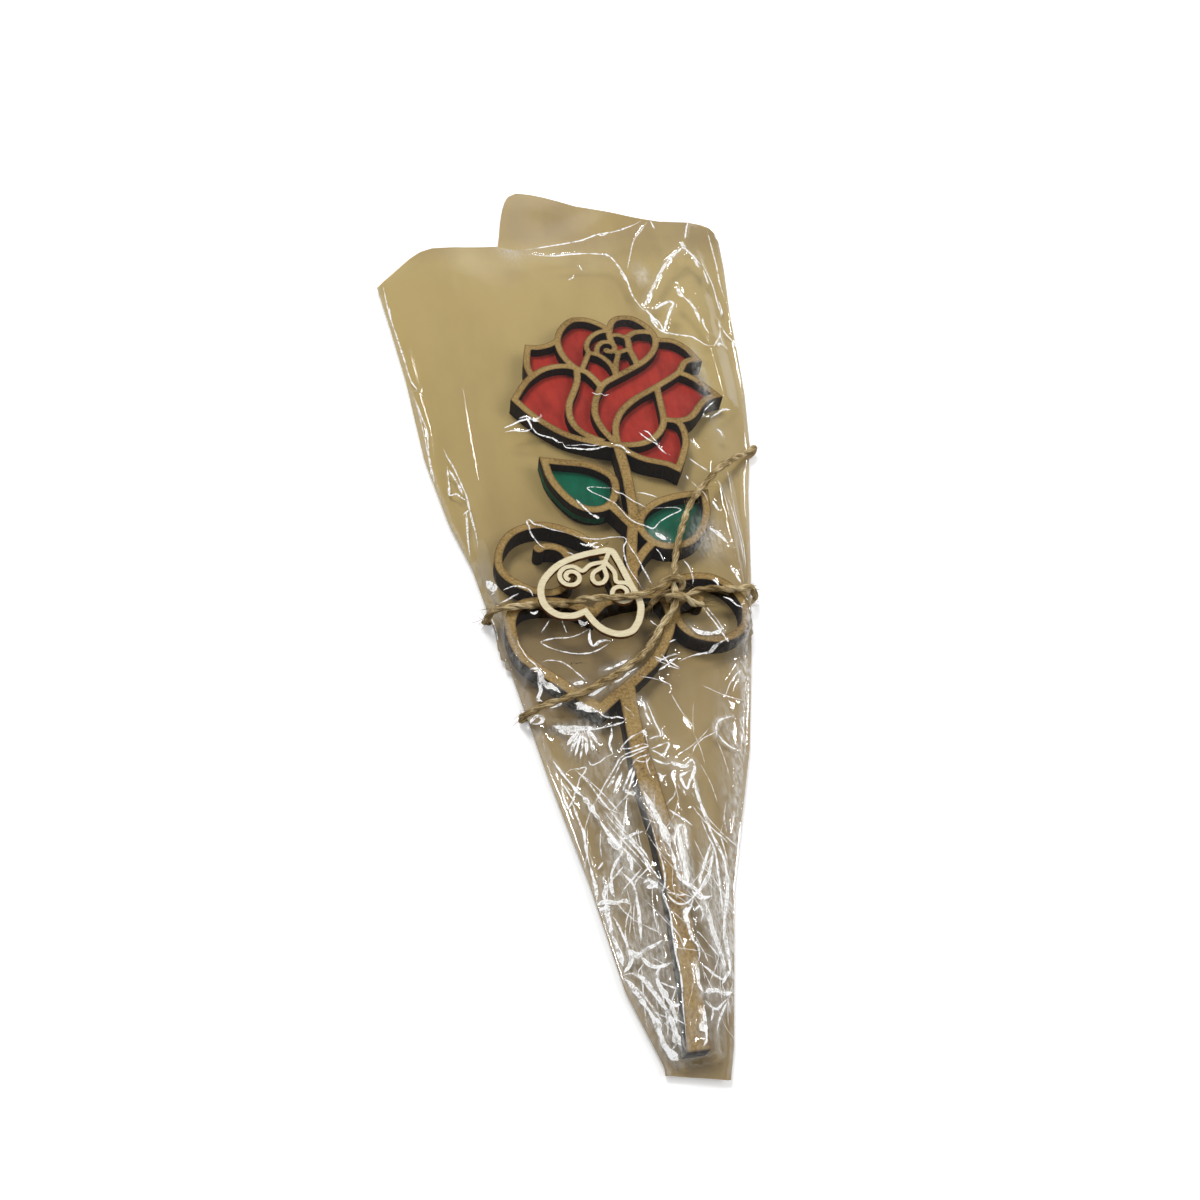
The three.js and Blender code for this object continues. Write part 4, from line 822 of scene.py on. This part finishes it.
    -118, 190, -103, 160, -89, 128, -79, 99), (1.3, 0.25, -56, 249, -72, 239, -78, 217, -72, 189,
    -62, 163, -54, 134, -48, 106, -47, 78), (0.5, 0, -71, 206, -55, 192, -38, 180, -22, 172), (1,
    0.15, -65, 161, -53, 139, -39, 129, -27, 132), (1.5, 0.3, -62, 115, -56, 82, -54, 48, -46, 20),
    (1.3, 0.25, -89, 61, -77, 32, -66, 9, -55, -12), (1, 0.2, -95, 119, -87, 97, -87, 76), (0.8,
    0.2, -64, 21, -53, 34, -43, 43), (2.2, 0.3, -13, 814, -3, 777, 8, 744, 17, 708, 27, 672, 34,
    637, 37, 602), (1.1, 0.1, 38, 609, 41, 575, 41, 542, 50, 507, 69, 486, 83, 465), (0.5, 0, -11,
    718, -7, 665, -4, 614, 1, 573, 2, 526, -4, 494, -15, 473, -11, 443, -5, 410, -6, 373, -10, 336,
    -11, 299, -12, 263, -10, 227, -12, 188, -18, 145, -23, 103, -26, 60, -31, 25), (0.5, 0, -2, 471,
    22, 462, 43, 456, 59, 457), (0.45, 0, -3, 468, 9, 447, 22, 433, 43, 427, 65, 435, 82, 449),
    (0.9, 0.08, 82, 449, 65, 419, 47, 398, 45, 373, 45, 342, 49, 316, 60, 293, 60, 266, 50, 246),
    (1.2, 0.15, 51, 417, 40, 393, 50, 366), (1.5, 0.2, 42, 241, 42, 211, 39, 182, 47, 158), (0.9,
    0.05, 42, 123, 37, 86, 33, 53, 29, 22, 13, 5), (2.2, 0.2, 26, 76, 28, 59, 28, 45), (0.4, 0, -7,
    24, -4, 7), (2, 0.5, 75, 677, 72, 629, 72, 582, 73, 538, 73, 492), (1, 0.3, 101, 679, 96, 641,
    94, 600), (1, 0.2, 64, 658, 79, 681, 102, 686), (1.6, 0.3, 69, 489, 89, 475, 106, 457, 120,
    439), (1.2, 0.3, 69, 438, 100, 463, 127, 490, 154, 524, 176, 572, 192, 613), (1, 0.25, 112, 467,
    115, 502, 136, 543, 161, 587, 185, 629), (1.2, 0.2, 79, 465, 100, 447, 126, 449, 150, 457),
    (0.8, 0.1, 200, 613, 196, 563, 193, 515, 188, 460, 184, 412), (1.6, 0.45, 225, 575, 225, 523,
    213, 468, 193, 416, 177, 365, 173, 316, 173, 265, 165, 217), (1.7, 0.5, 119, 436, 125, 395, 129,
    352, 138, 310, 147, 268, 153, 228), (0.8, 0.2, 75, 404, 97, 418, 103, 397, 89, 370), (0.5, 0,
    67, 340, 82, 323, 99, 303, 117, 287, 136, 270), (0.35, 0.1, 60, 321, 67, 294, 79, 268, 84, 244),
    (0.7, 0.1, 60, 236, 79, 223, 103, 211, 132, 206, 152, 207), (1.4, 0.35, 50, 155, 78, 164, 109,
    169, 134, 163, 161, 169), (0.6, 0.2, 48, 135, 66, 116, 88, 113, 115, 132, 143, 152), (0.6, 0.15,
    141, 143, 114, 113, 91, 82, 70, 46), (0.5, 0.15, 62, 130, 71, 105, 55, 75), (0.9, 0.2, 129, 191,
    149, 213, 170, 235), (1.2, 0.15, 40, 1162, 49, 1134, 50, 1102, 58, 1066), (0.5, 0.12, 60, 1153,
    67, 1112, 75, 1064, 84, 1018, 68, 1007), (0.5, 0.1, 43, 1005, 65, 1011, 91, 1014, 92, 1038),
    (0.7, 0.35, 300, 1026, 304, 1061, 321, 1085, 347, 1097, 377, 1106), (0.6, 0.2, 305, 1030, 319,
    1007, 344, 985, 380, 971), (0.35, 0, 182, 938, 201, 972, 234, 1004, 278, 1029, 300, 1041), (0.9,
    0, 288, 1041, 304, 1041),
]
CREASES = [
    (width, veil_and_sheen, [(x / 10, y / 10) for x, y in zip(places[::2], places[1::2])])
    for width, veil_and_sheen, *places in CREASE_TENTHS
]
FOLDED_EDGES = [  # where the film is bunched along its seams
    (1.2, 0.35, [(52, 150), (45.5, 120), (38, 97), (30, 72), (24.5, 52), (19, 32), (14, 12)]),
    (0.4, 0.15, [(-46, 185), (-40.5, 158), (-35, 132), (-31, 108), (-25.5, 82), (-21.5, 62)]),
]
FINE_CREASES = 70  # short faint ones, thick on the lower third and thin above
FINE_PLACES = (-2, 140, 30)  # lowest, highest and commonest, up the sleeve
FINE_DIRECTION = (100, 28)  # degrees, and how far they vary
RUMPLES = [  # middle, reach across, reach along, height
    (4, 50, 40, 62, 1.0), (0, 100, 45, 25, 0.7), (60, 350, 40, 50, 0.8), (66, 270, 24, 60, 0.3),
    (-48, 196, 12, 36, 0.3),
]
TENTS = [  # direction in degrees, spacing and height of the folded film's planes
    (12, 23, 0.9), (74, 17, 0.7), (128, 13, 0.6), (155, 29, 0.9), (41, 9, 0.35), (98, 7, 0.3),
]
RIDGE_REACH = 1.8
RIDGE_LEAST = 0.15
RIDGE_PER_WIDTH = 0.3
EDGE_BAND = 4  # the films' relief fades out over this much at the sleeve's sides
TWINE_HOLDS = (1, 5)  # the twine holds the film down this near to it, and lets go this far off


def fine_creases():
    made = []
    for _ in range(FINE_CREASES):
        y = chance.triangular(*FINE_PLACES)
        left, right = across(SLEEVE_LEFT, y), across(SLEEVE_RIGHT, y)
        x = chance.uniform(left + 2, right - 2)
        angle = math.radians(chance.gauss(*FINE_DIRECTION))
        half, bend = chance.uniform(3, 10), chance.uniform(-0.15, 0.15)
        first, last = (
            (x + s * half * math.cos(angle + s * bend), y + s * half * math.sin(angle + s * bend))
            for s in (-1, 1)
        )
        made.append((chance.uniform(0.1, 0.3), 0, [first, (x, y), last]))
    return made


def line_distance(x, y, line):
    nearest = np.full(x.shape, 1e9)
    for (x0, y0), (x1, y1) in zip(line, line[1:]):
        dx, dy = x1 - x0, y1 - y0
        t = np.clip(((x - x0) * dx + (y - y0) * dy) / (dx * dx + dy * dy), 0, 1)
        nearest = np.minimum(nearest, np.hypot(x - x0 - t * dx, y - y0 - t * dy))
    return nearest


def patches(x, y, spots):
    """The strongest of some soft round spots at each point."""
    most = np.zeros(np.shape(x))
    for mx, my, rx, ry, strength in spots:
        fade = np.exp(-(((x - mx) / rx) ** 2) - ((y - my) / ry) ** 2)
        most = np.maximum(most, strength * fade)
    return most


def rumple(x, y):
    """The film's larger folds, as planes that meet in ridges."""
    where = patches(x, y, RUMPLES)
    total = np.zeros(np.shape(x))
    for k, (angle, spacing, height) in enumerate(TENTS):
        a = math.radians(angle)
        wander = 4 * np.sin(y * 0.05 + k) + 3 * np.sin(x * 0.09 + 2 * k)
        along = x * math.cos(a) + y * math.sin(a) + wander
        total += height * np.abs((along / spacing + k * 0.37) % 2 - 1)
    return where * total / 2


WHITE_LINES = CREASES + fine_creases()
ALL_CREASES = WHITE_LINES + FOLDED_EDGES
TWINE_RUNS = [  # plan of the twine on the sleeve's front, which presses the film flat
    [(-45.3, 158.3), (-28, 158.1), (-17.4, 157.6), (1.1, 156.1), (12.4, 157.1), (27.8, 161.1)],
    [(77.5, 237.8), (61, 225.2), (47.6, 211.2), (38, 198.4), (32.7, 187), (27, 170.6),
     (24.1, 155.6), (13.1, 139.6), (2.6, 129.9), (-9.2, 123.3), (-24.1, 117.8), (-36.9, 117.2)],
    [(59, 161.6), (42.7, 160.2), (28.3, 157.4), (21, 155.6), (34.6, 154)],
]


def near_line(x, y, line, reach):
    """Which points are within reach of a line's box, and how far they are from the line."""
    low, high = np.min(line, axis=0) - reach, np.max(line, axis=0) + reach
    near = (x > low[0]) & (x < high[0]) & (y > low[1]) & (y < high[1])
    return near, line_distance(x[near], y[near], line)


def off_edges(x, y):
    """0 at the sleeve's side edges, 1 inside their band."""
    _, _, left_edge, right_edge = section(y)
    return smoothstep(np.minimum(x - left_edge, right_edge - x), 0, EDGE_BAND)


def front_height(x, y):
    ridges = np.zeros(np.shape(x))
    for width, _, line in ALL_CREASES:
        near, away = near_line(x, y, line, RIDGE_REACH)
        ridge = (RIDGE_LEAST + RIDGE_PER_WIDTH * width) * np.clip(1 - away / RIDGE_REACH, 0, 1)
        ridges[near] = np.maximum(ridges[near], ridge)
    rim = off_edges(x, y)
    from_twine = np.min([line_distance(x, y, run) for run in TWINE_RUNS], axis=0)
    tight = front_base(x, y)
    loose = front_base(x, y, softly=True) + (rumple(x, y) + ridges) * rim
    return tight + (loose - tight) * smoothstep(from_twine, *TWINE_HOLDS)


FILM_LENGTH = 436
FILM_WIDTH = 150
FITTING_ROUNDS = 25


def film_grid(mouth, step):
    """Plan points of a film's rows and columns between its edges, foot and mouth."""
    up, aside = (np.linspace(0, 1, int(size / step)) for size in (FILM_LENGTH, FILM_WIDTH))
    share_up, share_across = np.meshgrid(up, aside, indexing="ij")
    y = -5 + 385 * share_up  # a first guess, which the rounds bring to the outlines
    for _ in range(FITTING_ROUNDS):
        _, _, left, right = section(y)
        x = left + (right - left) * share_across
        y = upright(SLEEVE_FOOT, x) + (upright(mouth, x) - upright(SLEEVE_FOOT, x)) * share_up
    return x, y


def grid_mesh(name, x, y, z):
    number = np.arange(x.size).reshape(x.shape)
    faces = np.stack([number[:-1, :-1], number[:-1, 1:], number[1:, 1:], number[1:, :-1]], -1)
    points = np.stack([x, y, z], -1).reshape(-1, 3)
    return mesh_of(name, points, faces.reshape(-1, 4).tolist())


# Patches of whitened clear film, partly painted sheen standing in for reflections on its folds
HAZE_AND_SHEEN = [  # middle, reach across, reach along, how white
    (-13, 368, 6, 12, 0.4), (60.5, 272, 2.6, 22, 0.2), (-11.5, 66, 4.5, 18, 0.45),
    (18, 38, 5, 24, 0.45), (-13, 94, 10, 8, 0.15), (10, 92, 9, 10, 0.08), (48, 128, 5, 10, 0.4),
    (36, 96, 4, 22, 0.25), (44, 186, 7, 9, 0.25), (-8, 30, 8, 20, 0.3), (30, 64, 4, 24, 0.3),
    (0, 6, 12, 10, 0.1), (46, 342, 4, 8, 0.25),
]
SEAM_HAZE = 0.14
FRONT_STEP = 0.8
BACK_STEP = 1.2
BESIDE_ROSE = 8
MOUTH_FREES = (318, 340)
LINE_SWELL = 0.12  # the white lines are drawn this much wider than the film's creases
LINE_SIDE = 0.58  # from a line's middle to its edge, as a share of its width
LINE_LUMP_STEPS = 3
LINE_WANDER = 0.06


def front_film():
    x, y = film_grid(FRONT_MOUTH, FRONT_STEP)
    z = front_height(x, y)
    mesh = grid_mesh("clear_front", x, y, z)
    # The clear film's whiteness: its own whitening where crumpled, creased and sealed, and painted
    # sheen for reflections on its folds
    haze_and_sheen = np.maximum(0.03 * np.clip(rumple(x, y), 0, 1), patches(x, y, HAZE_AND_SHEEN))
    for width, veil_and_sheen, line in ALL_CREASES:
        if veil_and_sheen:
            spread = 0.8 + 1.1 * width
            near, away = near_line(x, y, line, 3 * spread)
            haze_and_sheen[near] = np.maximum(haze_and_sheen[near], veil_and_sheen * np.exp(-((away / spread) ** 2)))
    _, _, left, right = section(y)
    haze_and_sheen = np.maximum(haze_and_sheen, SEAM_HAZE * (np.minimum(x - left, right - x) < SEAM))
    point_values(mesh, "haze_and_sheen", haze_and_sheen)
    piece = placed("clear_front", mesh, clear_film(), "sleeve")
    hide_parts("front_film")
    return piece


def back_height(x, y):
    """The back film's waves, which are higher beside the rose and at the mouth."""
    waves = rumple(x * 0.9 + 31, y * 0.8 + 17) + 0.4 * np.sin(x * 0.07 + y * 0.03) ** 2
    left, right, _, _ = section(y)
    outside = smoothstep(np.maximum(left - x, x - right), 0, BESIDE_ROSE)
    free = np.maximum(outside, smoothstep(y, *MOUTH_FREES))
    return back_base(y) + 0.1 + waves * (0.25 + 0.9 * free * off_edges(x, y))


def back_film():
    x, y = film_grid(BACK_MOUTH, BACK_STEP)
    ceiling = np.where(y < upright(FRONT_MOUTH, x) + 2, front_base(x, y) - 0.15, np.inf)
    left, right, _, _ = section(y)
    in_way_of_rose = (x > left) & (x < right)
    ceiling = np.where(in_way_of_rose, np.minimum(ceiling, ROSE_FLOOR - 0.05), ceiling)
    z = np.minimum(back_height(x, y), ceiling)
    mesh = grid_mesh("tan_back", x, y, z)
    piece = placed("tan_back", mesh, tan_film(), "sleeve")
    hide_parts("back_film")
    return piece


def crease_lines():
    """White lines where the clear film is sharply creased: partly the creases' own whitening,
    mostly painted glints that glow a little by themselves.
    """
    edges, faces, strengths = [], [], []
    for width, _, line in WHITE_LINES:
        fine = smooth_line(line, 0.6)
        count = len(fine)
        if count < 4:
            continue
        heading = headings(fine)
        side = np.stack([-heading[:, 1], heading[:, 0]], 1)
        share = np.linspace(0, 1, count)
        wide = (width + LINE_SWELL) * LINE_SIDE * uneven(count, LINE_LUMP_STEPS, 0.35, 1)
        wide *= np.clip(np.minimum(share, 1 - share) * 6, 0.1, 1)
        wander = np.array([chance.uniform(-LINE_WANDER, LINE_WANDER) for _ in range(count)])
        start = sum(len(e) for e in edges)
        middle = fine + side * wander[:, None]
        edges.append(np.concatenate([middle - side * wide[:, None], middle + side * wide[:, None]]))
        strengths += [min(1.0, 0.62 + 0.5 * width)] * (2 * count)
        for i in range(start, start + count - 1):
            faces.append((i, i + count, i + count + 1, i + 1))
    x, y = np.concatenate(edges).T
    _, _, left, right = section(y)
    x = np.clip(x, left + 0.3, right - 0.3)
    mesh = mesh_of("film_creases", np.stack([x, y, front_height(x, y) + 0.1], 1), faces)
    point_values(mesh, "strength", strengths)
    return placed("film_creases", mesh, crease_frost_and_painted_glint(), "sleeve")


# The two films, and the white lines on the clear one
back = back_film()
front = front_film()
crease_lines()

# The boards and the tag keep the frame's solids, with their own finishes
FINISHES = {
    "rose_contour": cut_board(), "rose_base": painted_board(), "heart_tag": pale_plywood(),
}
for node, finish in FINISHES.items():
    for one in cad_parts[node].material_slots:
        one.material = finish


def lamp(name, place, size, watts):
    light = bpy.data.lights.new(name, "AREA")
    light.shape = "SQUARE"
    light.size = size
    light.energy = watts
    made = linked(name, light)
    made.location = place
    made.rotation_euler = (-Vector(place)).to_track_quat("-Z", "Y").to_euler()
    return made


for soft in (lamp("key", (-0.35, 0.65, 1.35), 0.5, 15), lamp("fill", (0.8, -0.3, 1.1), 0.7, 7)):
    soft.visible_glossy = False

# Small lamps that show only as glints: level film would mirror them at these plan places,
# which all lie beside the sleeve, so only creased film does
GLINT_HEIGHT = 1000
GLINT_SIZE = 0.09
GLINTS = [  # mirrored plan place, watts
    (139, 306, 1.2), (-175, 256, 0.8), (149, 106, 2.4), (-131, 56, 2.4), (9, 506, 2.4),
    (74, 46, 2.4), (-108, 14, 2.4), (150, 230, 2.4),
]
for k, (x, y, watts) in enumerate(GLINTS):
    mirrored = Vector((x, y))
    spot = mirrored + (mirrored - Vector(CAMERA_PLAN)) * GLINT_HEIGHT / CAMERA_RISE
    small = lamp("glint_%d" % k, at(spot.x, spot.y, GLINT_HEIGHT), GLINT_SIZE, watts)
    small.visible_diffuse = False

# Floor and surroundings
FLOOR_SIZE = 4
floor_mesh = bpy.data.meshes.new("floor")
half = FLOOR_SIZE / 2
corners = [(-half, -half, 0), (half, -half, 0), (half, half, 0), (-half, half, 0)]
floor_mesh.from_pydata(corners, [], [(0, 1, 2, 3)])
floor = linked("floor", floor_mesh)
white = Paint("floor", Base_Color=(0.86, 0.86, 0.86), Roughness=0.9, Specular_IOR_Level=0.1)
seen = white.node("LightPath").outputs["Is Camera Ray"]
lit = white.maths("MULTIPLY", seen, 0.35)
white.set(white.shader, {"Emission Color": (1.0, 1.0, 1.0), "Emission Strength": lit})
floor_mesh.materials.append(white.finish())

world = bpy.data.worlds.new("world")
world.use_nodes = True
bpy.context.scene.world = world
background = world.node_tree.nodes["Background"]
background.inputs["Color"].default_value = (1, 1, 1, 1)
# The camera sees a white room, which lights the object less
rays = world.node_tree.nodes.new("ShaderNodeLightPath").outputs["Is Camera Ray"]
strength = world.node_tree.nodes.new("ShaderNodeMapRange")
strength.inputs["To Min"].default_value = 0.25
world.node_tree.links.new(rays, strength.inputs["Value"])
world.node_tree.links.new(strength.outputs["Result"], background.inputs["Strength"])

bpy.context.scene.view_settings.view_transform = "Standard"
